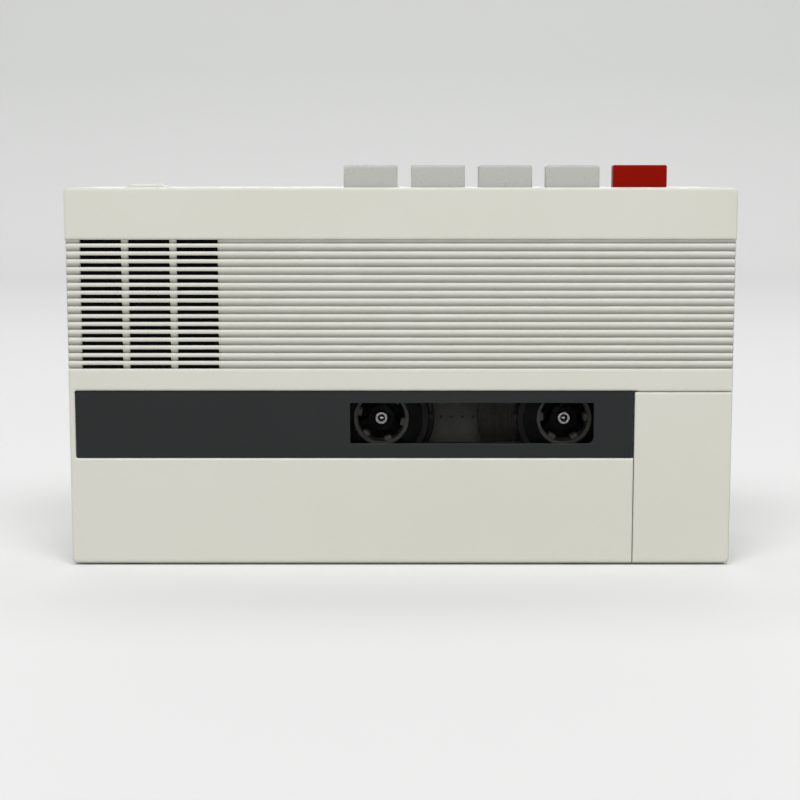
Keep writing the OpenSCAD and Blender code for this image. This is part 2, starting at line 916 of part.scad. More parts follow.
// Window opening: nearly square corners, the lower right one well rounded
module window_opening(y) {
    c = [window_x1 - window_corner, window_z0 + window_corner];
    difference() {
        slab([window_x0, window_x1], [window_z0, window_z1], window_r, y);
        difference() {
            box([c[0], window_x1 + over], [y[0] - over, y[1] + over], [window_z0 - over, c[1]]);
            rod_y(window_corner, c, [y[0] - 2 * over, y[1] + 2 * over]);
        }
    }
}

// Dark strip with the window opening
module window_strip() {
    color(strip_grey) difference() {
        slab(
            [strip_x0 + strip_fit, strip_x1],
            [strip_z0 + strip_fit, strip_z1 - strip_fit],
            strip_r,
            [strip_floor_y - strip_t, strip_floor_y]
        );
        window_opening([front_y - over, strip_floor_y + over]);
    }
}

// Smoked window behind the strip
module window_lens() {
    lap = lens_lap - strip_fit;
    color(smoke) box(
        [window_x0 - lap, window_x1 + lap],
        [strip_floor_y, strip_floor_y + lens_t],
        [window_z0 - lap, window_z1 + lap]
    );
}

// Black sound cloth in the pocket behind the slots
module speaker_screen() {
    color(dark) box(
        [-lid_half + skirt_t + slide_gap, screen_x1 - slide_gap],
        [front_y + grille_t, front_y + grille_t + screen_t],
        [screen_z0 + slide_gap, rabbet_z]
    );
}

// Lid release: press plate that forms the lower right corner of the front
module lid_release() {
    lip = lip_y - release_travel;
    skirt_end = skirt_y - release_travel - lid_gap;
    color(shell_white) intersection() {
        slab([-lid_half, lid_half], [lid_z0, body_h], corner_r, [front_y, skirt_y]);
        union() {
            along_x([release_x0, release_x1]) {
                translate([front_y, lid_z0 + foot_r])
                    square([release_t, release_h - foot_r]);
                translate([front_y + foot_r, lid_z0 + foot_r])
                    circle(r = foot_r);
                translate([front_y + foot_r, lid_z0])
                    square([lip - front_y - foot_r, foot_r + join]);
            }
            foot_cheek([release_x1 - skirt_t, release_x1], roll_r - join - release_travel);
            box([release_x1 - skirt_t, release_x1], [release_y1 - join, skirt_end], [skirt_z0, release_z1]);
        }
    }
}

// Steel guide posts pressed into the back of the plate
module release_posts() {
    color(steel) for (p = posts) {
        rod_y(post_r, p, [release_y1, post_y1]);
    }
}

// Spring clips that keep the guide posts in the lid
module release_clips() {
    color(steel) for (p = posts) {
        difference() {
            rod_y(post_r + clip_rim, p, [seat_y1 + slide_gap, seat_y1 + slide_gap + clip_t]);
            rod_y(post_r + fix_gap, p, [seat_y1, seat_y1 + slide_gap + clip_t + over]);
        }
    }
}

// Sheet spring on the right wall that holds the lid hook
module latch_clip() {
    nose_x0 = hook_x0 + hook_t + hook_barb + slide_gap;
    tail_y0 = post_y1 + release_travel + slide_gap;
    color(steel) {
        box([in_x - latch_t, in_x], latch_y, latch_z);
        box([nose_x0, in_x], [latch_y[0], latch_y[0] + latch_t], hook_z);
        box(
            [post_x - post_r, in_x],
            [tail_y0, tail_y0 + latch_t],
            [latch_z[0], posts[1][1] + post_r]
        );
    }
}

// Outline of the cassette's small window between the two hubs
module gap_outline(inset) {
    arc_r = hub_r + peep_gap + inset;
    half_h = peep_half - inset;
    difference() {
        translate([hub_left[0], hub_z - half_h])
            square([hub_pitch, 2 * half_h]);
        for (h = [hub_left, hub_right]) {
            translate(h)
                circle(r = arc_r);
        }
    }
}

// Solid drawn by an outline in X and Z, carried along Y
module along_y(y) {
    translate([0, y[1], 0])
        rotate([90, 0, 0])
            linear_extrude(y[1] - y[0])
                children();
}

// One half of the cassette between the planes face and cas_y; thick is the face of the raised tape edge
module cassette_half(face, thick, inner) {
    y = [min(face, cas_y), max(face, cas_y)];
    edge = [min(thick, cas_y), max(thick, cas_y)];
    room = [min(inner, cas_y) - (inner > cas_y ? over : 0), max(inner, cas_y) + (inner < cas_y ? over : 0)];
    difference() {
        union() {
            difference() {
                union() {
                    slab([cas_x0, cas_x1], [cas_z0, cas_z1], cas_round, y);
                    along_y(edge) polygon([
                        [cas_x - cas_thick_foot, thick_z],
                        [cas_x + cas_thick_foot, thick_z],
                        [cas_x + cas_thick_top, cas_z1],
                        [cas_x - cas_thick_top, cas_z1]
                    ]);
                }
                box([cas_x0 + cas_wall, cas_x1 - cas_wall], room, [cas_z0 + cas_wall, cas_z1 - cas_wall]);
            }
            for (p = cas_screws) {
                rod_y(cas_boss_r, p, y);
            }
        }
        for (h = [hub_left, hub_right]) {
            rod_y(hub_hole_r, h, [thick_front_y - over, thick_back_y + over]);
        }
        for (x = [capstan[0], 2 * cas_x - capstan[0]]) {
            rod_y(capstan_hole_r, [x, capstan[1]], [thick_front_y - over, thick_back_y + over]);
        }
        along_y([thick_front_y - over, thick_back_y + over]) gap_outline(0);
        for (n = [[head_x, head_notch], [head_x + erase_dx, erase_notch], [capstan[0], roller_notch]]) {
            box(
                [n[0] - n[1], n[0] + n[1]],
                [thick_front_y - over, thick_back_y + over],
                [notch_z, cas_z1 + over]
            );
        }
        for (p = cas_screws) {
            rod_y(cas_screw_r + fix_gap, p, [cas_front_y - over, cas_back_y - cas_wall]);
            rod_y(cas_screw_head_r + join, p, [thick_front_y - over, cas_front_y + cas_screw_head_t]);
        }
    }
}

// Front half of the cassette
module cassette_front() {
    color(dark) cassette_half(cas_front_y, thick_front_y, cas_front_y + cas_wall);
}

// Back half of the cassette
module cassette_back() {
    color(dark) cassette_half(cas_back_y, thick_back_y, cas_back_y - cas_wall);
}

// Clear windows of the cassette, front and back
module cassette_windows() {
    color(smoke) for (y = [cas_front_y, cas_back_y - cas_wall]) {
        along_y([y, y + cas_wall]) gap_outline(peep_fit);
    }
}

// Screws of the cassette
module cassette_screws() {
    color(steel) for (p = cas_screws) {
        rod_y(cas_screw_r, p, [cas_front_y + join, cas_back_y - cas_wall - join]);
        rod_y(cas_screw_head_r, p, [cas_front_y, cas_front_y + cas_screw_head_t]);
    }
}

// Tape hub with six drive teeth
module tape_hub(p, turn) {
    color(shell_white) {
        difference() {
            rod_y(hub_r, p, [cas_y - hub_w / 2, cas_y + hub_w / 2]);
            rod_y(hub_bore_r, p, [cas_y - hub_w, cas_y + hub_w]);
        }
        for (i = [0:tooth_n - 1]) {
            translate([p[0], 0, p[1]])
                rotate([0, turn + i * full_turn / tooth_n, 0])
                    box(
                        [hub_tip_r, hub_bore_r + join],
                        [cas_y - tooth_d / 2, cas_y + tooth_d / 2],
                        [-tooth_w / 2, tooth_w / 2]
                    );
        }
    }
}

// Hub on the take-up side
module hub_takeup() {
    tape_hub(hub_left, takeup_turn);
}

// Hub on the supply side
module hub_supply() {
    tape_hub(hub_right, 0);
}

// Wound tape between the hub and the radius r
module tape_pack(p, r) {
    color(tape_brown) difference() {
        rod_y(r, p, [cas_y - tape_w / 2, cas_y + tape_w / 2]);
        rod_y(hub_r + fix_gap, p, [cas_y - tape_w, cas_y + tape_w]);
    }
}

// Tape on the take-up hub
module tape_takeup() {
    tape_pack(hub_left, empty_r);
}

// Tape on the supply hub
module tape_supply() {
    tape_pack(hub_right, full_r);
}

// Steel deck that carries the tape drive, with cassette rests, guide pins and the arm's pivot post
module deck_plate() {
    rests = [
        [cas_x0 + rest_in, cas_z0 + rest_low],
        [cas_x1 - rest_in, cas_z0 + rest_low],
        [cas_x0 + rest_in, thick_z - rest_top],
        [cas_x1 - rest_in, thick_z - rest_top]
    ];
    color(steel) difference() {
        union() {
            box([deck_x0, deck_x1], [deck_y0, deck_y1], [deck_z0, deck_z1]);
            for (p = rests) {
                rod_y(rest_r, p, [cas_back_y, deck_y0 + join]);
            }
            for (p = guide_pins) {
                rod_y(guide_r, p, [plate_y0 - guide_out, deck_y0 + join]);
            }
            rod_y(shaft_r, pivot, [plate_y0 - pivot_out, deck_y0 + join]);
        }
        for (p = deck_holes) {
            rod_y(deck_screw_r + fix_gap, p, [deck_y0 - over, deck_y1 + over]);
        }
        for (p = [hub_left, hub_right]) {
            rod_y(shaft_r + run_gap, p, [deck_y0 - over, deck_y1 + over]);
        }
        rod_y(bearing_r + fix_gap, capstan, [deck_y0 - over, deck_y1 + over]);
        box(
            [tab_x[0] - slide_gap, tab_x[1] + slide_gap],
            [deck_y0 - over, deck_y1 + over],
            [tab_z[0] - head_travel - slide_gap, tab_z[1] + slide_gap]
        );
    }
}

// Screws that hold the deck in the case
module deck_screws() {
    color(steel) for (p = deck_holes) {
        rod_y(deck_screw_r, p, [deck_y0 - join, boss_y1 - boss_end - join]);
        rod_y(deck_screw_head_r, p, [deck_y0 - deck_screw_head_t, deck_y0]);
    }
}

// Spindle with three drive fins; tail is the end of its rear shaft
module spindle(p, turn, tail) {
    flange_y = [deck_y0 - wheel_lift - flange_t, deck_y0 - wheel_lift];
    nose_y = cas_y - nose;
    color(dark) {
        rod_y(flange_r, p, flange_y);
        rod_y(barrel_r, p, [nose_y, flange_y[0] + join]);
        for (i = [0:fin_n - 1]) {
            translate([p[0], 0, p[1]])
                rotate([0, turn + i * full_turn / fin_n, 0])
                    box([0, fin_r], [nose_y + fin_back, flange_y[0] + join], [-fin_w / 2, fin_w / 2]);
        }
        rod_y(shaft_r, p, [nose_y - nose_tip, tail]);
    }
}

// Take-up spindle, on the left
module takeup_spindle() {
    spindle(hub_left, takeup_turn + fin_turn, takeup_y0 + belt_w + wheel_lift);
}

// Supply spindle, on the right
module supply_spindle() {
    spindle(hub_right, fin_turn, deck_y1 + shaft_end);
}

// Grooved wheel for a belt
module belt_wheel(p, r, bore, y, belt_y) {
    difference() {
        rod_y(r, p, y);
        rod_y(bore + fix_gap, p, [y[0] - over, y[1] + over]);
        difference() {
            rod_y(r + over, p, [belt_y - slide_gap, belt_y + belt_w + slide_gap]);
            rod_y(r - belt_t - slide_gap, p, [belt_y - over, belt_y + belt_w + over]);
        }
    }
}

// Pulley on the take-up spindle
module takeup_pulley() {
    color(dark) belt_wheel(
        hub_left, takeup_pulley_r, shaft_r, [takeup_y0 - belt_edge, takeup_y0 + belt_w + belt_edge], takeup_y0
    );
}

// Flywheel with the drum for the take-up belt
module flywheel() {
    color(brass) {
        belt_wheel(capstan, flywheel_r, capstan_r, [flywheel_y0, flywheel_y1], belt_y0);
        difference() {
            rod_y(drum_r, capstan, [flywheel_y1 - join, drum_y1]);
            rod_y(capstan_r + fix_gap, capstan, [flywheel_y1 - over, drum_y1 + over]);
        }
    }
}

// Capstan shaft
module capstan_shaft() {
    color(steel) rod_y(capstan_r, capstan, [thick_front_y + nose_tip, drum_y1 + join]);
}

// Sleeve bearing of the capstan
module capstan_bearing() {
    color(brass) difference() {
        rod_y(bearing_r, capstan, [deck_y0 - bearing_out, flywheel_y0 - wheel_lift]);
        rod_y(capstan_r + run_gap, capstan, [deck_y0 - bearing_out - over, flywheel_y0 + over]);
    }
}

// Motor can
module motor_can() {
    color(steel) difference() {
        rod_y(motor_r, motor, [motor_y0, motor_y1]);
        rod_y(shaft_r / 2 + run_gap, motor, [motor_y0 - over, motor_y0 + motor_bore]);
    }
}

// Bracket between the deck and the motor
module motor_bracket() {
    reach = bracket_reach;
    stands = [[-reach, -reach], [reach, -reach], [reach, reach]];
    half = bracket_reach + bracket_edge;
    color(steel) {
        difference() {
            box(
                [motor[0] - half, motor[0] + half],
                [motor_y0 - bracket_t, motor_y0],
                [motor[1] - half, motor[1] + half]
            );
            rod_y(motor_pulley_r + belt_t + belt_slack, motor, [motor_y0 - 2 * bracket_t, motor_y0 + over]);
        }
        for (s = stands) {
            rod_y(stand_r, motor + s, [deck_y1, motor_y0 - bracket_t + join]);
        }
    }
}

// Motor pulley and its shaft
module motor_pulley() {
    color(brass) {
        rod_y(motor_pulley_r, motor, [belt_y0 - wheel_lift, belt_y0 + belt_w + join]);
        rod_y(shaft_r / 2, motor, [belt_y0 - 2 * wheel_lift, motor_y0 + motor_bore - slide_gap]);
    }
}

// Points of an arc of radius r about c between two angles
function arc(c, r, from, to) = [
    for (i = [0:arc_n]) c + r * [cos(from + (to - from) * i / arc_n), sin(from + (to - from) * i / arc_n)]
];

// Outline of a belt around two circles
module belt_loop(a, ra, b, rb) {
    d = b - a;
    lie = atan2(d[1], d[0]);
    open = acos((ra - rb) / norm(d));
    polygon(concat(
        arc(a, ra, lie + open, lie + full_turn - open),
        arc(b, rb, lie - open, lie + open)
    ));
}

// Belt of rectangular section around two wheels
module belt(a, ra, b, rb, y) {
    color(dark) along_y([y, y + belt_w]) difference() {
        belt_loop(a, ra + belt_slack + belt_t, b, rb + belt_slack + belt_t);
        belt_loop(a, ra + belt_slack, b, rb + belt_slack);
    }
}

// Belt from the motor to the flywheel
module drive_belt() {
    belt(capstan, flywheel_r - belt_t - slide_gap, motor, motor_pulley_r, belt_y0);
}

// Belt from the flywheel's drum to the take-up pulley
module takeup_belt() {
    belt(hub_left, takeup_pulley_r - belt_t - slide_gap, capstan, drum_r, takeup_y0);
}

// Sliding plate that carries the heads down to the tape; its tab is pushed by the play key
module head_plate() {
    color(steel) difference() {
        union() {
            box([head_x - plate_left, head_x + plate_right], [plate_y0, plate_y1], [plate_z0, plate_z1]);
            box(tab_x, [plate_y0, plate_y1], [tab_z[0], plate_z0 + join]);
            box(tab_x, [plate_y0, stem_y0 + stem_t], tab_z);
        }
        for (p = guide_pins) {
            box(
                [p[0] - guide_r - run_gap, p[0] + guide_r + run_gap],
                [plate_y0 - over, plate_y1 + over],
                [p[1] - guide_r - run_gap, p[1] + guide_r + head_travel + slide_gap]
            );
        }
    }
}

// Record and playback head
module tape_head() {
    color(steel) difference() {
        box(
            [head_x - head_half, head_x + head_half],
            [cas_y - head_out, plate_y0],
            [head_z0, head_z0 + head_h]
        );
        for (side = [-1, 1]) {
            box(
                [head_x + side * head_half - head_cheek, head_x + side * head_half + head_cheek],
                [cas_y - head_out - over, cas_y + head_out],
                [head_z0 - over, head_z0 + head_bevel]
            );
        }
    }
}

// Erase head
module erase_head() {
    color(dark) box(
        [head_x + erase_dx - erase_half, head_x + erase_dx + erase_half],
        [cas_y - erase_out, plate_y0],
        [head_z0 + erase_lift, head_z0 + erase_lift + erase_h]
    );
}

// Swinging arm that presses the roller to the capstan
module pinch_arm() {
    arm_y = [plate_y0 - arm_t, plate_y0];
    color(steel) difference() {
        union() {
            box([pivot[0], roller[0]], arm_y, [pivot[1] - arm_down, pivot[1] + arm_up]);
            rod_y(pivot_boss_r, pivot, [arm_y[0], plate_y1]);
            rod_y(arm_down, roller, arm_y);
            rod_y(roller_collar_r, roller, [cas_y + roller_w / 2 + slide_gap, arm_y[1] - join]);
            rod_y(roller_pin_r, roller, [cas_y - roller_w / 2 - slide_gap, arm_y[1] - join]);
        }
        rod_y(shaft_r + run_gap, pivot, [arm_y[0] - over, plate_y1 + over]);
    }
}

// Rubber roller
module pinch_roller() {
    color(dark) difference() {
        rod_y(roller_r, roller, [cas_y - roller_w / 2, cas_y + roller_w / 2]);
        rod_y(roller_pin_r + run_gap, roller, [cas_y - roller_w, cas_y + roller_w]);
    }
}

// One key: shallow cap above the roof, foot under the roof that seats the spring, lever to the deck
module key(i, tint) {
    x = [key_xs[i] - key_w / 2, key_xs[i] + key_w / 2];
    foot_z = [key_z0, roof_z - slide_gap];
    color(tint) {
        intersection() {
            slab(x, [key_z0 - over, key_top], key_round, [key_y0, key_y1]);
            along_x(x) {
                translate([key_y0, key_z0])
                    square([key_d, key_top - key_z0 - key_round]);
                translate([key_y0 + key_round, key_z0])
                    square([key_d - 2 * key_round, key_top - key_z0]);
                for (y = [key_y0 + key_round, key_y1 - key_round]) {
                    translate([y, key_top - key_round])
                        circle(r = key_round);
                }
            }
        }
        box([x[0] + foot_in, x[1] - foot_in], [stem_y0, spring_y + spring_r], foot_z);
        box(
            [key_xs[i] - stem_w / 2, key_xs[i] + stem_w / 2],
            [stem_y0, stem_y0 + stem_t],
            [stem_z0, key_z0 + join]
        );
    }
}

// Rewind key
module key_rewind() {
    key(0, key_grey);
}

// Play key
module key_play() {
    key(1, key_grey);
}

// Fast forward key
module key_forward() {
    key(2, key_grey);
}

// Stop key
module key_stop() {
    key(3, key_grey);
}

// Record key
module key_record() {
    key(4, key_red);
}

// Return spring of one key, drawn as its envelope
module key_spring(i) {
    color(steel) translate([key_xs[i], spring_y, shelf_z1]) difference() {
        cylinder(r = spring_r, h = key_z0 - shelf_z1);
        translate([0, 0, -over])
            cylinder(r = spring_r - spring_wire, h = key_z0 - shelf_z1 + 2 * over);
    }
}

// Spring under the rewind key
module spring_rewind() {
    key_spring(0);
}

// Spring under the play key
module spring_play() {
    key_spring(1);
}

// Spring under the fast forward key
module spring_forward() {
    key_spring(2);
}

// Spring under the stop key
module spring_stop() {
    key_spring(3);
}

// Spring under the record key
module spring_record() {
    key_spring(4);
}

// Angle bracket behind the deck that guides the key levers and carries the springs
module key_bracket() {
    side = key_w / 2 + shelf_side;
    x = [key_xs[0] - side, key_xs[key_n - 1] + side];
    color(steel) difference() {
        union() {
            box(x, [deck_y1, deck_y1 + shelf_t], [shelf_z1 - shelf_h, shelf_z1]);
            box(x, [deck_y1, shelf_y1], [shelf_z1 - shelf_t, shelf_z1]);
        }
        for (k = key_xs) {
            box(
                [k - stem_w / 2 - slide_gap, k + stem_w / 2 + slide_gap],
                [stem_y0 - slide_gap / 2, stem_y0 + stem_t + slide_gap / 2],
                [shelf_z1 - shelf_h - over, shelf_z1 + over]
            );
        }
    }
}

// Volume slider knob with its neck
module volume_knob() {
    x = [knob_x - knob_l / 2, knob_x + knob_l / 2];
    z0 = body_h - knob_sink;
    color(shell_white) {
        along_y([knob_y - knob_w / 2, knob_y + knob_w / 2]) polygon([
            [x[0], z0],
            [x[1], z0],
            [x[1], body_h],
            [x[1] - knob_slope, body_h + knob_proud],
            [x[0] + knob_slope, body_h + knob_proud],
            [x[0], body_h]
        ]);
        box(
            [knob_x - neck_l / 2, knob_x + neck_l / 2],
            [knob_y - neck_w / 2, knob_y + neck_w / 2],
            [pot_z1 - neck_reach, z0 + join]
        );
    }
}

// Slide control under the knob
module volume_pot() {
    color(dark) difference() {
        box([track_x0, track_x1], [knob_y - pot_w / 2, knob_y + pot_w / 2], [pot_z1 - pot_h, pot_z1]);
        box(
            [knob_x - neck_l / 2 - slide_gap, knob_x + neck_l / 2 + knob_travel + slide_gap],
            [knob_y - neck_w / 2 - slide_gap, knob_y + neck_w / 2 + slide_gap],
            [pot_z1 - pot_slot, pot_z1 + over]
        );
    }
}

// Speaker frame
module speaker_basket() {
    bowl_r = basket_r - basket_wall;
    color(dark) difference() {
        union() {
            rod_y(speaker_r, speaker, [baffle_y0 - frame_t, baffle_y0]);
            rod_y(basket_r, speaker, [baffle_y0 - join, basket_y1]);
        }
        rod_y(bowl_r, speaker, [baffle_y0 - frame_t - over, basket_y1 - basket_back]);
        rod_y(magnet_r - pole_r, speaker, [basket_y1 - 2 * basket_back, basket_y1 + over]);
    }
}

// Speaker cone with its flat rim
module speaker_cone() {
    rim_r = basket_r - basket_wall - join;
    rim_in = rim_r - cone_rim;
    throat_r = magnet_r - cone_throat;
    skin = cone_skin;
    y = [baffle_y0 - frame_t + join, basket_y1 - basket_back - cone_skin];
    color(smoke) {
        difference() {
            rod_y(rim_r, speaker, [y[0], y[0] + skin]);
            rod_y(rim_in, speaker, [y[0] - over, y[0] + over]);
        }
        translate([speaker[0], y[1], speaker[1]]) rotate([90, 0, 0]) difference() {
            cylinder(r1 = throat_r, r2 = rim_in + join, h = y[1] - y[0]);
            translate([0, 0, skin])
                cylinder(r1 = throat_r - join, r2 = rim_in + join - skin, h = y[1] - y[0]);
        }
    }
}

// Speaker magnet
module speaker_magnet() {
    color(steel) rod_y(magnet_r, speaker, [basket_y1, magnet_y1]);
}

// Open tray for the cells
module battery_box() {
    color(dark) difference() {
        box([box_x0, box_x1], [box_y0, back_y - wall], [box_z0, box_z1]);
        box(
            [box_x0 + box_wall, box_x1 - box_wall],
            [box_y0 + box_wall, back_y + over],
            [box_z0 + box_wall, box_z1 - box_wall]
        );
    }
}

// Four cells, turned end for end in turn
module battery_cells() {
    color(steel) for (i = [0:cell_n - 1]) {
        z = cell_z0 + i * cell_pitch;
        lead = i % 2 == 0 ? 0 : nub_l;
        nub_x = i % 2 == 0 ? cell_x0 + cell_l - join : cell_x0;
        rod_x(cell_r, [cell_x0 + lead, cell_x0 + lead + cell_l], cell_y, z);
        rod_x(nub_r, [nub_x, nub_x + nub_l + join], cell_y, z);
    }
}

// Contact plates at both ends of the cells
module battery_contacts() {
    half = leaf_half;
    leaf = leaf_t;
    color(steel) for (i = [0:cell_n - 1]) {
        z = cell_z0 + i * cell_pitch;
        near = box_x0 + box_wall;
        far = box_x1 - box_wall;
        box([near, near + leaf], [cell_y - half, cell_y + half], [z - half, z + half]);
        rod_x(nub_r, [near, near + cell_gap], cell_y, z);
        box([far - leaf, far], [cell_y - half, cell_y + half], [z - half, z + half]);
        rod_x(nub_r, [far - cell_gap, far], cell_y, z);
    }
}

// Amplifier board
module circuit_board() {
    color(board_brown)
        box([board_x0, board_x1], [board_y0, board_y0 + board_t], [board_z0, board_z1]);
}

// Parts on the board
module board_components() {
    size = [board_x1 - board_x0, board_z1 - board_z0];
    color(dark) {
        for (c = can_spots) {
            rod_y(
                can_r,
                [board_x0 + c[0] * size[0], board_z0 + c[1] * size[1]],
                [board_y0 - can_h, board_y0]
            );
        }
        for (c = chip_spots) {
            column(
                [board_x0 + c[0] * size[0], board_z0 + c[1] * size[1]],
                [chip_l / 2, chip_l / 2],
                [board_y0 - chip_h, board_y0],
                [chip_w / 2, chip_w / 2]
            );
        }
    }
}

// Screws of the rear shell
module case_screws() {
    color(steel) for (p = case_holes) {
        difference() {
            union() {
                rod_y(screw_r, p, [split_y - screw_bite + slide_gap, sink_y + join]);
                rod_y(screw_head_r, p, [sink_y, sink_y + screw_head_t]);
            }
            for (turn = [0, 90]) {
                translate([p[0], 0, p[1]])
                    rotate([0, turn, 0])
                        box(
                            [-cross_half, cross_half],
                            [sink_y + cross_d, sink_y + screw_head_t + over],
                            [-cross_w / 2, cross_w / 2]
                        );
            }
        }
    }
}

main_case();
rear_cover();
battery_cover();
cassette_lid();
hinge_pins();
window_strip();
window_lens();
speaker_screen();
lid_release();
release_posts();
release_clips();
latch_clip();
cassette_front();
cassette_back();
cassette_windows();
cassette_screws();
hub_takeup();
hub_supply();
tape_takeup();
tape_supply();
deck_plate();
deck_screws();
takeup_spindle();
supply_spindle();
takeup_pulley();
flywheel();
capstan_shaft();
capstan_bearing();
motor_can();
motor_bracket();
motor_pulley();
drive_belt();
takeup_belt();
head_plate();
tape_head();
erase_head();
pinch_arm();
pinch_roller();
key_rewind();
key_play();
key_forward();
key_stop();
key_record();
spring_rewind();
spring_play();
spring_forward();
spring_stop();
spring_record();
key_bracket();
volume_knob();
volume_pot();
speaker_basket();
speaker_cone();
speaker_magnet();
battery_box();
battery_cells();
battery_contacts();
circuit_board();
board_components();
case_screws();
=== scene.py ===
"""Looks of a portable cassette recorder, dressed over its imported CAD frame."""

import logging
import math
from dataclasses import dataclass, field
from enum import Enum
from typing import Callable, Sequence

import bmesh
import bpy
from mathutils import Matrix, Vector


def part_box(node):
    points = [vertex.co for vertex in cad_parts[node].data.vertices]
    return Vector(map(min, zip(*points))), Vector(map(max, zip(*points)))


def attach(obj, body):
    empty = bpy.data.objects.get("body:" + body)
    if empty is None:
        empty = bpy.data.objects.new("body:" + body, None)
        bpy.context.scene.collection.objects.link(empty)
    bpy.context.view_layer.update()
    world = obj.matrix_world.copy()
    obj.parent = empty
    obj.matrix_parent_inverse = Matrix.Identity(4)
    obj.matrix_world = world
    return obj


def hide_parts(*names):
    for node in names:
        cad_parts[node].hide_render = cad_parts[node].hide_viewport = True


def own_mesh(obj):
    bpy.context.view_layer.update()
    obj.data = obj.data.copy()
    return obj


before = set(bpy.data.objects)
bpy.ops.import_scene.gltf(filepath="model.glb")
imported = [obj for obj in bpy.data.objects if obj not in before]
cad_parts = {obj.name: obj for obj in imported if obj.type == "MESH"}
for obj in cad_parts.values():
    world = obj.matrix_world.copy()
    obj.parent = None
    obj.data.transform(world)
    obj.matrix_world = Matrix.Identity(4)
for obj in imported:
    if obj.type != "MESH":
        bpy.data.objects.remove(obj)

LOG = logging.getLogger("recorder")
# A millimetre in metres.
MM = 0.001
# Millimetres within which a radius counts as the axis itself, and points are welded.
AXIS = 1e-6
WELD = 1e-4
# Turn between two faces from which their shared edge stays sharp.
CREASE = math.radians(38)
# Sides of a screw head.
HEAD_SIDES = 32
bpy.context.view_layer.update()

Colour = tuple[float, float, float]
Spot = tuple[float, float]
Point = tuple[float, float, float]
Outline = list[Spot]


def srgb(red: int, green: int, blue: int) -> Colour:
    """Turns a display colour into the linear colour that a shader takes.

    Args:
        red: Red from 0 to 255.
        green: Green from 0 to 255.
        blue: Blue from 0 to 255.

    Returns:
        The linear colour.
    """

    def linear(value: int) -> float:
        """Linear share of one channel."""
        share = value / 255
        return share / 12.92 if share <= 0.04045 else ((share + 0.055) / 1.055) ** 2.4

    return linear(red), linear(green), linear(blue)


class Socket(Enum):
    """Kinds of socket on an effect group."""

    VALUE = "NodeSocketFloat"
    COLOUR = "NodeSocketColor"
    VECTOR = "NodeSocketVector"


class Wiring:
    """Adds nodes to a shader tree and links them."""

    def __init__(self, tree: bpy.types.NodeTree) -> None:
        """Keeps the tree that takes the nodes."""
        self.tree = tree

    def node(self, kind: str, **settings: object) -> bpy.types.Node:
        """Adds one node.

        Args:
            kind: Node type without its common prefix.
            settings: Properties to set on the node.

        Returns:
            The node.
        """
        made = self.tree.nodes.new("ShaderNode" + kind)
        for name, value in settings.items():
            setattr(made, name, value)
        return made

    def feed(self, socket: bpy.types.NodeSocket, value: object) -> None:
        """Links a socket to another, or sets its own value.

        Args:
            socket: The input to fill.
            value: An output socket, a number, a vector or a colour.
        """
        if isinstance(value, bpy.types.NodeSocket):
            self.tree.links.new(value, socket)
        elif socket.type == "RGBA" and len(value) == 3:
            socket.default_value = (*value, 1.0)
        else:
            socket.default_value = value

    def math(self, operation: str, *values: object, clamp: bool = False) -> bpy.types.NodeSocket:
        """Adds a Math node.

        Args:
            operation: Name of the operation.
            values: Its inputs in order.
            clamp: Whether the result stays between 0 and 1.

        Returns:
            The result's socket.
        """
        made = self.node("Math", operation=operation, use_clamp=clamp)
        for socket, value in zip(made.inputs, values):
            self.feed(socket, value)
        return made.outputs[0]

    def noise(self, vector: bpy.types.NodeSocket, scale: object, detail: float = 2.0) -> bpy.types.NodeSocket:
        """Adds a Noise texture.

        Args:
            vector: Where to read the noise.
            scale: Cells per metre.
            detail: Number of finer layers.

        Returns:
            The noise as a value about one half.
        """
        made = self.node("TexNoise")
        self.feed(made.inputs["Vector"], vector)
        self.feed(made.inputs["Scale"], scale)
        made.inputs["Detail"].default_value = detail
        return made.outputs[0]

    def blend(self, share: object, first: object, second: object) -> bpy.types.NodeSocket:
        """Mixes two colours.

        Args:
            share: Share of the second colour.
            first: Colour at share 0.
            second: Colour at share 1.

        Returns:
            The mixed colour's socket.
        """
        made = self.node("Mix", data_type="RGBA")
        self.feed(made.inputs[0], share)
        self.feed(made.inputs[6], first)
        self.feed(made.inputs[7], second)
        return made.outputs[2]

    def remap(self, value: object, span: Spot, low: object, high: object) -> bpy.types.NodeSocket:
        """Stretches a value from one range to another and keeps it inside.

        Args:
            value: The value to stretch.
            span: The range that it comes from.
            low: What the range's start becomes.
            high: What the range's end becomes.

        Returns:
            The stretched value's socket.
        """
        made = self.node("MapRange")
        for socket, entry in zip(made.inputs, (value, span[0], span[1], low, high)):
            self.feed(socket, entry)
        return made.outputs[0]

    def place(self) -> bpy.types.NodeSocket:
        """Socket of the point on the piece, in metres of the CAD frame."""
        return self.node("TexCoord").outputs["Object"]


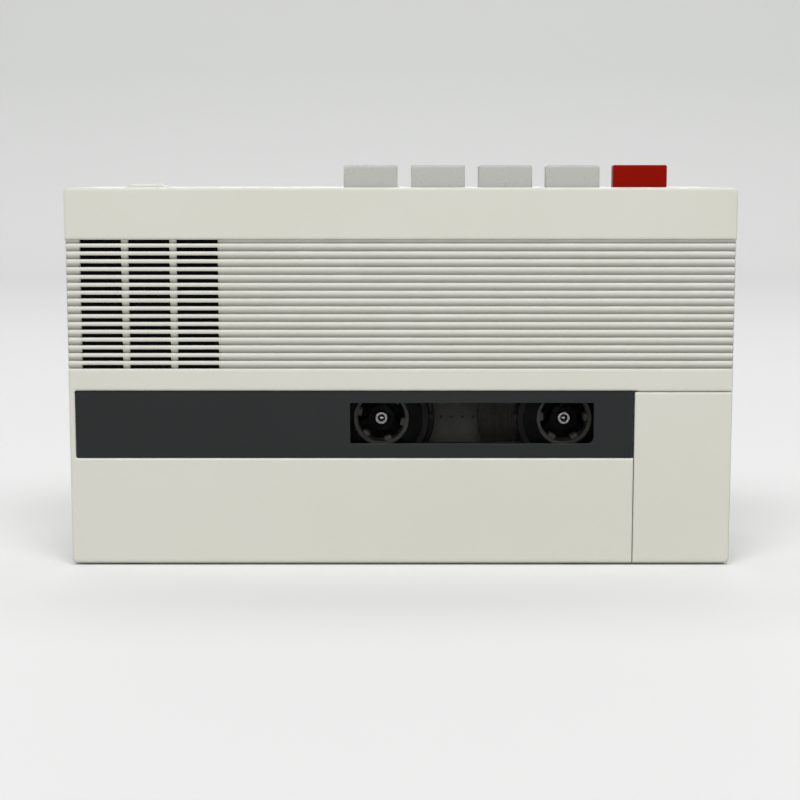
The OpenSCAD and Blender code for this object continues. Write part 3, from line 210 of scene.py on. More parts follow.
class EffectGroup:
    """A shader node group with named sockets, made once and placed in many materials."""

    def __init__(
        self, name: str, inputs: Sequence[tuple[str, Socket, object]], outputs: Sequence[tuple[str, Socket]]
    ) -> None:
        """Makes the empty group.

        Args:
            name: The group's name.
            inputs: Name, kind and usual value of each input.
            outputs: Name and kind of each output.
        """
        self.tree = bpy.data.node_groups.new(name, "ShaderNodeTree")
        for label, kind, usual in inputs:
            made = self.tree.interface.new_socket(name=label, in_out="INPUT", socket_type=kind.value)
            made.default_value = (*usual, 1.0) if kind is Socket.COLOUR else usual
        for label, kind in outputs:
            self.tree.interface.new_socket(name=label, in_out="OUTPUT", socket_type=kind.value)
        self.wiring = Wiring(self.tree)
        self.source = self.tree.nodes.new("NodeGroupInput").outputs
        self.sink = self.tree.nodes.new("NodeGroupOutput").inputs

    def put(self, label: str, socket: bpy.types.NodeSocket) -> None:
        """Links a result to the named output."""
        self.wiring.feed(self.sink[label], socket)

    def use(self, wiring: Wiring, **values: object) -> bpy.types.bpy_prop_collection:
        """Places the group in a material.

        Args:
            wiring: The material's wiring.
            values: Input values by name.

        Returns:
            The placed group's outputs.
        """
        made = wiring.node("Group", node_tree=self.tree)
        for label, value in values.items():
            wiring.feed(made.inputs[label], value)
        return made.outputs


class Effects:
    """The surface effects that the recorder's materials share."""

    def __init__(self) -> None:
        """Makes every group once."""
        self.grain = self._grain()
        self.edge = self._edge()
        self.recess_shade = self._recess_shade()
        self.drift = self._drift()
        self.dust = self._dust()
        self.rings = self._rings()
        self.drawn = self._drawn()
        self.weave = self._weave()

    @staticmethod
    def _grain() -> EffectGroup:
        """Fine texture of a moulded face, with broader changes of gloss.

        Returns:
            The group.
        """
        group = EffectGroup(
            "moulded grain",
            [("Grain", Socket.VALUE, 2500.0), ("Smooth", Socket.VALUE, 0.35), ("Matt", Socket.VALUE, 0.5)],
            [("Height", Socket.VALUE), ("Roughness", Socket.VALUE)],
        )
        wiring, place = group.wiring, group.wiring.place()
        fine = wiring.noise(place, group.source["Grain"], 3.0)
        broad = wiring.noise(place, wiring.math("MULTIPLY", group.source["Grain"], 0.035), 3.0)
        mixed = wiring.math("ADD", wiring.math("MULTIPLY", fine, 0.4), wiring.math("MULTIPLY", broad, 0.6))
        group.put("Height", fine)
        group.put("Roughness", wiring.remap(mixed, (0.3, 0.7), group.source["Smooth"], group.source["Matt"]))
        return group

    @staticmethod
    def _edge() -> EffectGroup:
        """Rounded edges: a softened normal, and a mask of the edges that lightens colour, partly for rubbed
        wear and partly as a painted highlight.

        Returns:
            The group.
        """
        group = EffectGroup(
            "soft edge",
            [("Radius", Socket.VALUE, 0.0002), ("Patches", Socket.VALUE, 160.0)],
            [("Normal", Socket.VECTOR), ("Wear and highlight", Socket.VALUE)],
        )
        wiring = group.wiring
        bevel = wiring.node("Bevel", samples=6)
        wiring.feed(bevel.inputs["Radius"], group.source["Radius"])
        dot = wiring.node("VectorMath", operation="DOT_PRODUCT")
        wiring.feed(dot.inputs[0], bevel.outputs[0])
        wiring.feed(dot.inputs[1], wiring.node("NewGeometry").outputs["Normal"])
        turn = wiring.math("SUBTRACT", 1.0, dot.outputs["Value"], clamp=True)
        noise = wiring.noise(wiring.place(), group.source["Patches"], 4.0)
        patches = wiring.remap(noise, (0.35, 0.65), 0.25, 1.0)
        group.put("Normal", bevel.outputs[0])
        # Edge mask: lightens edges partly as rubbed wear, partly as a painted highlight.
        group.put("Wear and highlight", wiring.math("MULTIPLY", wiring.remap(turn, (0.01, 0.2), 0.0, 1.0), patches))
        return group

    @staticmethod
    def _recess_shade() -> EffectGroup:
        """Painted shade that darkens grooves and inner corners, read from ambient occlusion.

        Returns:
            The group.
        """
        group = EffectGroup(
            "painted recess shade",
            [
                ("Tint", Socket.COLOUR, (0.5, 0.5, 0.5)),
                ("Shade", Socket.COLOUR, (0.2, 0.19, 0.17)),
                ("Reach", Socket.VALUE, 0.001),
                ("Amount", Socket.VALUE, 0.5),
            ],
            [("Tint", Socket.COLOUR)],
        )
        wiring = group.wiring
        # Painted shade: ambient occlusion darkens the colour in grooves and inner corners, where shade falls.
        open_sky = wiring.node("AmbientOcclusion", samples=6, only_local=True)
        wiring.feed(open_sky.inputs["Distance"], group.source["Reach"])
        shaded = wiring.remap(open_sky.outputs["AO"], (0.4, 0.85), 1.0, 0.0)
        share = wiring.math("MULTIPLY", shaded, group.source["Amount"], clamp=True)
        group.put("Tint", wiring.blend(share, group.source["Tint"], group.source["Shade"]))
        return group

    @staticmethod
    def _drift() -> EffectGroup:
        """Slow change between two tints over a face.

        Returns:
            The group.
        """
        group = EffectGroup(
            "tint drift",
            [
                ("Tint", Socket.COLOUR, (0.5, 0.5, 0.5)),
                ("Aged", Socket.COLOUR, (0.5, 0.5, 0.4)),
                ("Cells", Socket.VALUE, 22.0),
            ],
            [("Tint", Socket.COLOUR)],
        )
        wiring, place = group.wiring, group.wiring.place()
        slow = wiring.noise(place, group.source["Cells"], 4.0)
        fleck = wiring.noise(place, wiring.math("MULTIPLY", group.source["Cells"], 60.0), 1.0)
        both = wiring.math("ADD", wiring.math("MULTIPLY", slow, 0.8), wiring.math("MULTIPLY", fleck, 0.2))
        share = wiring.remap(both, (0.35, 0.65), 0.0, 1.0)
        group.put("Tint", wiring.blend(share, group.source["Tint"], group.source["Aged"]))
        return group

    @staticmethod
    def _dust() -> EffectGroup:
        """Thin dust on faces that look up.

        Returns:
            The group.
        """
        group = EffectGroup(
            "settled dust",
            [
                ("Tint", Socket.COLOUR, (0.5, 0.5, 0.5)),
                ("Dust", Socket.COLOUR, (0.5, 0.48, 0.44)),
                ("Amount", Socket.VALUE, 0.1),
            ],
            [("Tint", Socket.COLOUR)],
        )
        wiring = group.wiring
        split = wiring.node("SeparateXYZ")
        wiring.feed(split.inputs[0], wiring.node("NewGeometry").outputs["Normal"])
        up = wiring.remap(split.outputs["Z"], (0.55, 0.95), 0.0, 1.0)
        patch = wiring.remap(wiring.noise(wiring.place(), 420.0, 5.0), (0.42, 0.68), 0.0, 1.0)
        lying = wiring.math("MULTIPLY", up, patch)
        share = wiring.math("MULTIPLY", lying, group.source["Amount"], clamp=True)
        group.put("Tint", wiring.blend(share, group.source["Tint"], group.source["Dust"]))
        return group

    @staticmethod
    def _rings() -> EffectGroup:
        """Rings about an axis from front to back: turning marks, or layers of wound tape.

        Returns:
            The group.
        """
        group = EffectGroup(
            "turned rings",
            [("Centre", Socket.VECTOR, (0.0, 0.0, 0.0)), ("Pitch", Socket.VALUE, 0.0003)],
            [("Height", Socket.VALUE), ("Sheen", Socket.VALUE)],
        )
        wiring = group.wiring
        from_axis = wiring.node("VectorMath", operation="SUBTRACT")
        wiring.feed(from_axis.inputs[0], wiring.place())
        wiring.feed(from_axis.inputs[1], group.source["Centre"])
        flat = wiring.node("VectorMath", operation="MULTIPLY")
        wiring.feed(flat.inputs[0], from_axis.outputs[0])
        flat.inputs[1].default_value = (1.0, 0.0, 1.0)
        length = wiring.node("VectorMath", operation="LENGTH")
        wiring.feed(length.inputs[0], flat.outputs[0])
        turns = wiring.math("DIVIDE", length.outputs["Value"], group.source["Pitch"])
        ring = wiring.node("TexNoise", noise_dimensions="1D")
        wiring.feed(ring.inputs["W"], turns)
        ring.inputs["Scale"].default_value = 1.0
        ring.inputs["Detail"].default_value = 2.0
        group.put("Height", ring.outputs[0])
        group.put("Sheen", wiring.remap(ring.outputs[0], (0.3, 0.7), 0.0, 1.0))
        return group

    @staticmethod
    def _drawn() -> EffectGroup:
        """Long fine lines of drawn or rolled sheet, with cloudy plating.

        Returns:
            The group.
        """
        group = EffectGroup(
            "drawn lines",
            [("Stretch", Socket.VECTOR, (60.0, 900.0, 5200.0)), ("Cells", Socket.VALUE, 90.0)],
            [("Height", Socket.VALUE), ("Cloud", Socket.VALUE)],
        )
        wiring, place = group.wiring, group.wiring.place()
        long = wiring.node("VectorMath", operation="MULTIPLY")
        wiring.feed(long.inputs[0], place)
        wiring.feed(long.inputs[1], group.source["Stretch"])
        group.put("Height", wiring.noise(long.outputs[0], 1.0, 2.0))
        cloud = wiring.noise(place, group.source["Cells"], 4.0)
        group.put("Cloud", wiring.remap(cloud, (0.35, 0.65), 0.0, 1.0))
        return group

    @staticmethod
    def _weave() -> EffectGroup:
        """Plain weave seen from the front.

        Returns:
            The group.
        """
        group = EffectGroup(
            "plain weave",
            [("Threads", Socket.VALUE, 2600.0)],
            [("Height", Socket.VALUE), ("Gap", Socket.VALUE)],
        )
        wiring = group.wiring
        split = wiring.node("SeparateXYZ")
        wiring.feed(split.inputs[0], wiring.place())
        turn = wiring.math("MULTIPLY", group.source["Threads"], math.pi)
        across = wiring.math("SINE", wiring.math("MULTIPLY", split.outputs["X"], turn))
        upward = wiring.math("SINE", wiring.math("MULTIPLY", split.outputs["Z"], turn))
        height = wiring.math("MULTIPLY", across, upward)
        group.put("Height", wiring.remap(height, (-1.0, 1.0), 0.0, 1.0))
        group.put("Gap", wiring.remap(wiring.math("ABSOLUTE", height), (0.0, 0.25), 1.0, 0.0))
        return group


class Material:
    """A new material with its shader, ready for wiring."""

    def __init__(self, name: str) -> None:
        """Makes the material with one empty shader.

        Args:
            name: The material's name.
        """
        self.data = bpy.data.materials.new(name)
        self.data.use_nodes = True
        self.wiring = Wiring(self.data.node_tree)
        self.shader = self.data.node_tree.nodes["Principled BSDF"]
        self.output = self.data.node_tree.nodes["Material Output"]

    def set(self, **values: object) -> None:
        """Fills inputs of the shader; an underscore in a name stands for a space."""
        for label, value in values.items():
            self.wiring.feed(self.shader.inputs[label.replace("_", " ")], value)

    def bump(self, height: bpy.types.NodeSocket, depth: float, normal: object = None) -> None:
        """Adds relief to the shader.

        Args:
            height: Relief between 0 and 1.
            depth: Metres that the whole relief stands for.
            normal: Normal to start from, if not the mesh's own.
        """
        made = self.wiring.node("Bump")
        made.inputs["Distance"].default_value = depth
        self.wiring.feed(made.inputs["Height"], height)
        if normal is not None:
            self.wiring.feed(made.inputs["Normal"], normal)
        self.wiring.feed(self.shader.inputs["Normal"], made.outputs[0])


@dataclass(frozen=True)
class Finish:
    """A named finish of one colour; each kind of finish adds its own surface."""

    name: str
    colour: Colour

    def make(self, effects: Effects) -> bpy.types.Material:
        """Builds the material.

        Args:
            effects: The shared effect groups.

        Returns:
            The material.
        """
        raise NotImplementedError


@dataclass(frozen=True)
class Moulding(Finish):
    """Moulded plastic with fine grain, softened edges lightened partly by wear and partly by painted
    highlight, painted shade in recesses, and a little dust.
    """

    aged: Colour = (0.5, 0.5, 0.45)
    # Edge colour and its share: partly rubbed wear, partly a painted highlight on rounded edges.
    edge_wear_and_highlight: Colour = (0.8, 0.8, 0.78)
    edge_wear_and_highlight_share: float = 0.25
    smooth: float = 0.38
    matt: float = 0.52
    grain: float = 2600.0
    relief: float = 0.000006
    edge: float = 0.00025
    dust: float = 0.12
    # Share of painted shade that darkens the colour in recesses.
    recess_shade_share: float = 0.0
    shine: float = 0.3

    def make(self, effects: Effects) -> bpy.types.Material:
        """Builds the plastic from grain, drift, edge wear with painted highlight, painted recess shade and
        dust.

        Args:
            effects: The shared effect groups.

        Returns:
            The material.
        """
        made = Material(self.name)
        wiring = made.wiring
        grain = effects.grain.use(wiring, Grain=self.grain, Smooth=self.smooth, Matt=self.matt)
        edge = effects.edge.use(wiring, Radius=self.edge)
        tint = effects.drift.use(wiring, Tint=self.colour, Aged=self.aged)["Tint"]
        # Lighter edges: partly rubbed wear, partly a painted highlight.
        tint = wiring.blend(wiring.math("MULTIPLY", edge["Wear and highlight"], self.edge_wear_and_highlight_share), tint, self.edge_wear_and_highlight)
        # Painted shade in grooves and inner corners.
        if self.recess_shade_share:
            tint = effects.recess_shade.use(wiring, Tint=tint, Amount=self.recess_shade_share)["Tint"]
        tint = effects.dust.use(wiring, Tint=tint, Amount=self.dust)["Tint"]
        made.set(Base_Color=tint, Roughness=grain["Roughness"], Specular_IOR_Level=self.shine)
        made.bump(grain["Height"], self.relief, edge["Normal"])
        made.data.cycles.use_bump_map_correction = False
        return made.data


@dataclass(frozen=True)
class SheetMetal(Finish):
    """Rolled or plated sheet metal with drawn lines and cloudy plating."""

    clouded: Colour = (0.5, 0.5, 0.48)
    smooth: float = 0.28
    matt: float = 0.45
    stretch: Point = (60.0, 900.0, 5200.0)
    relief: float = 0.000004
    edge: float = 0.00012

    def make(self, effects: Effects) -> bpy.types.Material:
        """Builds the metal from drawn lines over softened edges.

        Args:
            effects: The shared effect groups.

        Returns:
            The material.
        """
        made = Material(self.name)
        wiring = made.wiring
        drawn = effects.drawn.use(wiring, Stretch=self.stretch)
        edge = effects.edge.use(wiring, Radius=self.edge)
        made.set(
            Base_Color=wiring.blend(drawn["Cloud"], self.colour, self.clouded),
            Roughness=wiring.remap(drawn["Height"], (0.3, 0.7), self.smooth, self.matt),
            Metallic=1.0,
        )
        made.bump(drawn["Height"], self.relief, edge["Normal"])
        return made.data


@dataclass(frozen=True)
class Turned(Finish):
    """A piece turned about an axis from front to back, with rings in its face."""

    centre: Spot = (0.0, 0.0)
    pitch: float = 0.00025
    dark: Colour = (0.3, 0.3, 0.3)
    metallic: float = 1.0
    smooth: float = 0.22
    matt: float = 0.4
    relief: float = 0.000006
    edge: float = 0.00012

    def make(self, effects: Effects) -> bpy.types.Material:
        """Builds the turned face from rings over softened edges.

        Args:
            effects: The shared effect groups.

        Returns:
            The material.
        """
        made = Material(self.name)
        wiring = made.wiring
        axis = (self.centre[0] * MM, 0.0, self.centre[1] * MM)
        rings = effects.rings.use(wiring, Centre=axis, Pitch=self.pitch)
        edge = effects.edge.use(wiring, Radius=self.edge)
        made.set(
            Base_Color=wiring.blend(rings["Sheen"], self.dark, self.colour),
            Roughness=wiring.remap(rings["Height"], (0.3, 0.7), self.smooth, self.matt),
            Metallic=self.metallic,
        )
        made.bump(rings["Height"], self.relief, edge["Normal"])
        return made.data


@dataclass(frozen=True)
class ClearPlastic(Finish):
    """Clear or smoked plastic that lets lamps through, faintly scuffed."""

    smooth: float = 0.03
    scuffed: float = 0.12
    grain: float = 900.0
    ior: float = 1.05

    def make(self, effects: Effects) -> bpy.types.Material:
        """Builds the pane; shadow and diffuse rays pass straight through its tint.

        Args:
            effects: The shared effect groups.

        Returns:
            The material.
        """
        made = Material(self.name)
        wiring = made.wiring
        grain = effects.grain.use(wiring, Grain=self.grain, Smooth=self.smooth, Matt=self.scuffed)
        made.set(Base_Color=self.colour, Roughness=grain["Roughness"], Transmission_Weight=1.0, IOR=self.ior)
        path = wiring.node("LightPath").outputs
        straight = wiring.math("MAXIMUM", path["Is Shadow Ray"], path["Is Diffuse Ray"])
        through = wiring.node("BsdfTransparent")
        wiring.feed(through.inputs["Color"], self.colour)
        mix = wiring.node("MixShader")
        wiring.feed(mix.inputs[0], straight)
        wiring.feed(mix.inputs[1], made.shader.outputs[0])
        wiring.feed(mix.inputs[2], through.outputs[0])
        wiring.feed(made.output.inputs["Surface"], mix.outputs[0])
        return made.data


@dataclass(frozen=True)
class Fibre(Finish):
    """Pressed paper or card with short fibres."""

    fibre: Colour = (0.4, 0.4, 0.4)
    stretch: Point = (2600.0, 2600.0, 700.0)
    cells: float = 1400.0
    matt: float = 0.85
    relief: float = 0.00003
    dust: float = 0.1

    def make(self, effects: Effects) -> bpy.types.Material:
        """Builds the paper from drawn lines and drift.

        Args:
            effects: The shared effect groups.

        Returns:
            The material.
        """
        made = Material(self.name)
        wiring = made.wiring
        drawn = effects.drawn.use(wiring, Stretch=self.stretch, Cells=self.cells)
        tint = wiring.blend(drawn["Cloud"], self.colour, self.fibre)
        tint = effects.dust.use(wiring, Tint=tint, Amount=self.dust)["Tint"]
        rough = wiring.remap(drawn["Height"], (0.3, 0.7), self.matt - 0.1, self.matt)
        made.set(Base_Color=tint, Roughness=rough)
        made.bump(drawn["Height"], self.relief)
        return made.data


@dataclass(frozen=True)
class Cloth(Finish):
    """Thin woven cloth."""

    gap: Colour = (0.001, 0.001, 0.001)
    relief: float = 0.00008
    shine: float = 0.1

    def make(self, effects: Effects) -> bpy.types.Material:
        """Builds the cloth from its weave.

        Args:
            effects: The shared effect groups.

        Returns:
            The material.
        """
        made = Material(self.name)
        weave = effects.weave.use(made.wiring)
        tint = made.wiring.blend(weave["Gap"], self.colour, self.gap)
        rough = made.wiring.remap(weave["Gap"], (0.0, 1.0), 0.8, 0.95)
        made.set(Base_Color=tint, Roughness=rough, Specular_IOR_Level=self.shine)
        made.bump(weave["Height"], self.relief)
        return made.data


class Wardrobe:
    """Makes each finish once and puts it on pieces."""

    def __init__(self) -> None:
        """Makes the effects and an empty shelf."""
        self.effects = Effects()
        self.made: dict[str, bpy.types.Material] = {}

    def material(self, finish: Finish) -> bpy.types.Material:
        """The finish's material, made at its first use.

        Args:
            finish: The finish to look up.

        Returns:
            Its material.
        """
        if finish.name not in self.made:
            self.made[finish.name] = finish.make(self.effects)
        return self.made[finish.name]

    def dress(self, piece: bpy.types.Object, *finishes: Finish) -> None:
        """Puts finishes on a piece, one for each of its slots.

        Args:
            piece: A CAD node's object or a new piece.
            finishes: The finishes in slot order.
        """
        for finish in finishes[len(piece.data.materials):]:
            piece.data.materials.append(self.material(finish))
        for slot, finish in zip(piece.material_slots, finishes):
            slot.link = "OBJECT"
            slot.material = self.material(finish)


def circle(centre: Spot, radius: float, steps: int = 64) -> Outline:
    """Points of a circle in the front view.

    Args:
        centre: Its middle, x and z in millimetres.
        radius: Its radius in millimetres.
        steps: Number of points.

    Returns:
        The points in order.
    """
    turns = [2 * math.pi * i / steps for i in range(steps)]
    return [(centre[0] + radius * math.cos(t), centre[1] + radius * math.sin(t)) for t in turns]


def rounded(x: Spot, z: Spot, radius: float, steps: int = 8) -> Outline:
    """Points of a rectangle with round corners.

    Args:
        x: Left and right side in millimetres.
        z: Lower and upper side in millimetres.
        radius: Corner radius in millimetres.
        steps: Points on each corner.

    Returns:
        The points in order.
    """
    points: Outline = []
    corners = [(x[1], z[1], 0), (x[0], z[1], 90), (x[0], z[0], 180), (x[1], z[0], 270)]
    for corner_x, corner_z, start in corners:
        middle_x = corner_x - math.copysign(radius, corner_x - (x[0] + x[1]) / 2)
        middle_z = corner_z - math.copysign(radius, corner_z - (z[0] + z[1]) / 2)
        for i in range(steps + 1):
            turn = math.radians(start + 90 * i / steps)
            points.append((middle_x + radius * math.cos(turn), middle_z + radius * math.sin(turn)))
    return points


def piece_of(name: str, mesh: bmesh.types.BMesh, body: str, smooth: bool = False) -> bpy.types.Object:
    """Turns a mesh in millimetres into a piece that rides on a body.

    Args:
        name: The piece's name.
        mesh: The mesh, which is used up.
        body: The CAD body that carries the piece.
        smooth: Whether its faces shade smoothly, with creases kept.

    Returns:
        The piece.
    """
    bmesh.ops.scale(mesh, vec=(MM, MM, MM), verts=mesh.verts)
    bmesh.ops.recalc_face_normals(mesh, faces=mesh.faces)
    data = bpy.data.meshes.new(name)
    mesh.to_mesh(data)
    mesh.free()
    if smooth:
        data.polygons.foreach_set("use_smooth", [True] * len(data.polygons))
        data.set_sharp_from_angle(angle=CREASE)
    piece = bpy.data.objects.new(name, data)
    bpy.context.scene.collection.objects.link(piece)
    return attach(piece, body)


def cut_sheet(outer: Outline, holes: Sequence[Outline], y: Spot) -> bmesh.types.BMesh:
    """A flat sheet in the front view with holes cut through it.

    Args:
        outer: The sheet's outline.
        holes: Outlines of its holes.
        y: Its front and back in millimetres.

    Returns:
        The closed mesh in millimetres.
    """
    mesh = bmesh.new()
    edges = []
    for loop in (outer, *holes):
        verts = [mesh.verts.new((px, y[0], pz)) for px, pz in loop]
        edges += [mesh.edges.new((a, b)) for a, b in zip(verts, verts[1:] + verts[:1])]
    bmesh.ops.triangle_fill(mesh, use_beauty=True, use_dissolve=False, edges=edges)
    grown = bmesh.ops.extrude_face_region(mesh, geom=list(mesh.faces))
    moved = [part for part in grown["geom"] if isinstance(part, bmesh.types.BMVert)]
    bmesh.ops.translate(mesh, vec=(0, y[1] - y[0], 0), verts=moved)
    return mesh


def lathe(
    mesh: bmesh.types.BMesh, profile: Sequence[Spot], place: Matrix, steps: int = 48, slot: int = 0
) -> None:
    """Turns a profile about an axis and adds it to a mesh.

    Args:
        mesh: The mesh that takes the shape.
        profile: Radius and distance along the axis, in millimetres, from one end to the other.
        place: Where the axis lies; the profile runs along its Z.
        steps: Number of sides.
        slot: Material slot of the faces.
    """
    rows = []
    for radius, along in profile:
        around = circle((0.0, 0.0), radius, steps) if radius > AXIS else [(0.0, 0.0)]
        rows.append([mesh.verts.new(place @ Vector((x, y, along))) for x, y in around])
    for low, high in zip(rows, rows[1:]):
        for i in range(steps):
            j = (i + 1) % steps
            corners = [low[i % len(low)], low[j % len(low)], high[j % len(high)], high[i % len(high)]]
            unique = list(dict.fromkeys(corners))
            if len(unique) > 2:
                mesh.faces.new(unique).material_index = slot


def sweep(mesh: bmesh.types.BMesh, path: Sequence[Vector], radius: float, sides: int = 8) -> None:
    """Carries a round section along a path and adds the tube to a mesh.

    Args:
        mesh: The mesh that takes the tube.
        path: Points of its middle line in millimetres.
        radius: Radius of the wire in millimetres.
        sides: Number of sides.
    """
    rows = []
    side = None
    for i, point in enumerate(path):
        along = (path[min(i + 1, len(path) - 1)] - path[max(i - 1, 0)]).normalized()
        side = along.orthogonal() if side is None else side - along * side.dot(along)
        side.normalize()
        up = along.cross(side)
        turns = [2 * math.pi * k / sides for k in range(sides)]
        rows.append([mesh.verts.new(point + radius * (math.cos(t) * side + math.sin(t) * up)) for t in turns])
    for low, high in zip(rows, rows[1:]):
        for k in range(sides):
            mesh.faces.new((low[k], low[(k + 1) % sides], high[(k + 1) % sides], high[k]))
    mesh.faces.new(rows[0][::-1])
    mesh.faces.new(rows[-1])


def facing(spot: Spot, y: float) -> Matrix:
    """Placement whose Z runs from front to back through a spot of the front view.

    Args:
        spot: x and z in millimetres.
        y: Where the placement starts, in millimetres.

    Returns:
        The placement.
    """
    return Matrix.Translation((spot[0], y, spot[1])) @ Matrix.Rotation(-math.pi / 2, 4, "X")


def cross_screw(mesh: bmesh.types.BMesh, spot: Spot, y: Spot, radius: float, slot_half: float) -> None:
    """Adds a domed screw head with a cross recess, facing the front.

    Args:
        mesh: The mesh that takes the head.
        spot: The screw's axis, x and z in millimetres.
        y: Top and underside of the head in millimetres.
        radius: Radius of the head.
        slot_half: Half length of the cross.
    """
    depth = (y[1] - y[0]) * 0.6
    thin = slot_half * 0.3
    signs = [(1, 1), (-1, 1), (-1, -1), (1, -1)]
    cross: Outline = []
    for k, (sx, sz) in enumerate(signs):
        arm = [(slot_half * sx, thin * sz), (thin * sx, thin * sz), (thin * sx, slot_half * sz)]
        cross += arm if k % 2 == 0 else arm[::-1]
    rim = circle(spot, radius * 0.8, HEAD_SIDES)
    loops = [rim, [(spot[0] + cx, spot[1] + cz) for cx, cz in cross]]
    verts = [[mesh.verts.new((px, y[0], pz)) for px, pz in loop] for loop in loops]
    edges = [mesh.edges.new((a, b)) for loop in verts for a, b in zip(loop, loop[1:] + loop[:1])]
    bmesh.ops.triangle_fill(mesh, use_beauty=True, use_dissolve=False, edges=edges)
    floor = [mesh.verts.new((v.co.x, y[0] + depth, v.co.z)) for v in verts[1]]
    count = len(floor)
    for i in range(count):
        j = (i + 1) % count
        mesh.faces.new((verts[1][i], verts[1][j], floor[j], floor[i]))
    mesh.faces.new(floor)
    drop = (y[1] - y[0]) * 0.35
    edge = [mesh.verts.new((px, y[0] + drop, pz)) for px, pz in circle(spot, radius, HEAD_SIDES)]
    under = [mesh.verts.new((px, y[1], pz)) for px, pz in circle(spot, radius, HEAD_SIDES)]
    for low, high in ((verts[0], edge), (edge, under)):
        for i in range(HEAD_SIDES):
            j = (i + 1) % HEAD_SIDES
            mesh.faces.new((low[i], low[j], high[j], high[i]))
    mesh.faces.new(under)


# Its near-white edge colour is mostly a painted highlight on groove lands and edges; its recess share paints
# shade in the grooves.
OFF_WHITE = Moulding(
    "off-white shell", srgb(213, 213, 203), aged=srgb(211, 210, 199), edge_wear_and_highlight=srgb(244, 244, 238),
    edge_wear_and_highlight_share=0.5, edge=0.0009, recess_shade_share=0.55,
)
# Its near-white edge colour paints a highlight along the keys' rounded tops.
KEY_GREY = Moulding(
    "grey key", srgb(165, 166, 162), aged=srgb(161, 162, 157), edge_wear_and_highlight=srgb(238, 239, 235), edge_wear_and_highlight_share=0.6,
    smooth=0.26, matt=0.3, relief=0.0000015, edge=0.0009, dust=0.02, shine=0.7,
)
KEY_RED = Moulding(
    "red key", srgb(136, 11, 0), aged=srgb(130, 9, 0), edge_wear_and_highlight=srgb(170, 34, 12), smooth=0.28, matt=0.4,
    dust=0.02, shine=0.03,
)
STRIP_GREY = Moulding(
    "dark strip", srgb(40, 43, 43), aged=srgb(37, 40, 40), edge_wear_and_highlight=srgb(92, 94, 92), smooth=0.34,
    matt=0.46, edge=0.0002, dust=0.06, edge_wear_and_highlight_share=0.4, shine=0.1,
)
SMOKED = ClearPlastic("smoked window", (0.55, 0.55, 0.55))
CLEAR = ClearPlastic("cassette window", (0.86, 0.86, 0.85))
SOUND_CLOTH = Cloth("sound cloth", srgb(6, 6, 6))
CASSETTE_BLACK = Moulding(
    "cassette shell", srgb(24, 24, 25), aged=srgb(20, 20, 21), edge_wear_and_highlight=srgb(64, 64, 64), smooth=0.3,
    matt=0.45, dust=0.03, edge=0.0002, shine=0.1,
)
HUB_WHITE = Moulding(
    "tape hub", srgb(206, 206, 198), aged=srgb(198, 198, 188), edge_wear_and_highlight=srgb(220, 220, 214), edge=0.0002,
    dust=0.02,
)
BLACK_PLASTIC = Moulding(
    "black plastic", srgb(11, 11, 11), aged=srgb(8, 8, 9), edge_wear_and_highlight=srgb(44, 44, 44), smooth=0.3,
    matt=0.42, dust=0.03, edge=0.00015, shine=0.1,
)
BELT_RUBBER = Moulding(
    "belt rubber", srgb(20, 20, 20), aged=srgb(28, 27, 26), edge_wear_and_highlight=srgb(44, 43, 42), smooth=0.62,
    matt=0.8, dust=0.1, edge=0.0001,
)
DECK_STEEL = SheetMetal("deck steel", (0.56, 0.56, 0.54), clouded=(0.48, 0.48, 0.47))
SPRING_STEEL = SheetMetal(
    "spring steel", (0.5, 0.5, 0.49), clouded=(0.42, 0.42, 0.41), smooth=0.2, matt=0.32,
)
SCREW_STEEL = SheetMetal(
    "screw steel", (0.46, 0.46, 0.45), clouded=(0.38, 0.38, 0.37), smooth=0.24, matt=0.38,
    stretch=(900.0, 900.0, 900.0),
)
MAGNET_IRON = SheetMetal("magnet iron", (0.2, 0.2, 0.21), clouded=(0.14, 0.14, 0.15), smooth=0.4, matt=0.6)
HEAD_METAL = SheetMetal(
    "head metal", (0.62, 0.62, 0.61), clouded=(0.56, 0.56, 0.55), smooth=0.12, matt=0.24,
)
SHAFT_STEEL = SheetMetal(
    "ground steel", (0.7, 0.7, 0.69), clouded=(0.64, 0.64, 0.63), smooth=0.1, matt=0.2,
    stretch=(5200.0, 300.0, 5200.0),
)
BRASS = SheetMetal("bearing brass", (0.62, 0.46, 0.2), clouded=(0.5, 0.36, 0.15), smooth=0.22, matt=0.36)
CONE_PAPER = Fibre("cone paper", srgb(46, 44, 42), fibre=srgb(58, 55, 52))
LABEL_PAPER = Fibre("label paper", srgb(222, 218, 204), fibre=srgb(216, 211, 195), matt=0.8)
LINER = Fibre("slip sheet", srgb(214, 214, 211), fibre=srgb(204, 204, 201), matt=0.7)
CELL_JACKET = Moulding(
    "cell jacket", srgb(104, 116, 112), aged=srgb(98, 110, 106), edge_wear_and_highlight=srgb(136, 144, 140), smooth=0.2,
    matt=0.3, edge=0.0002,
)
CELL_BAND = Moulding(
    "cell band", srgb(196, 196, 188), aged=srgb(190, 190, 181), edge_wear_and_highlight=srgb(210, 210, 204), smooth=0.2,
    matt=0.3, edge=0.0002,
)
BOARD_BROWN = Fibre("circuit card", srgb(146, 116, 62), fibre=srgb(134, 104, 54), matt=0.6)
RIM_GREY = Moulding(
    "cassette rim", srgb(92, 92, 93), aged=srgb(86, 86, 87), edge_wear_and_highlight=srgb(108, 108, 108), edge=0.0001,
    dust=0.02, shine=0.1,
)
MARK_GREY = Moulding(
    "window marks", srgb(96, 96, 96), aged=srgb(90, 90, 90), edge_wear_and_highlight=srgb(104, 104, 104), edge=0.0001,
    dust=0.0,
)


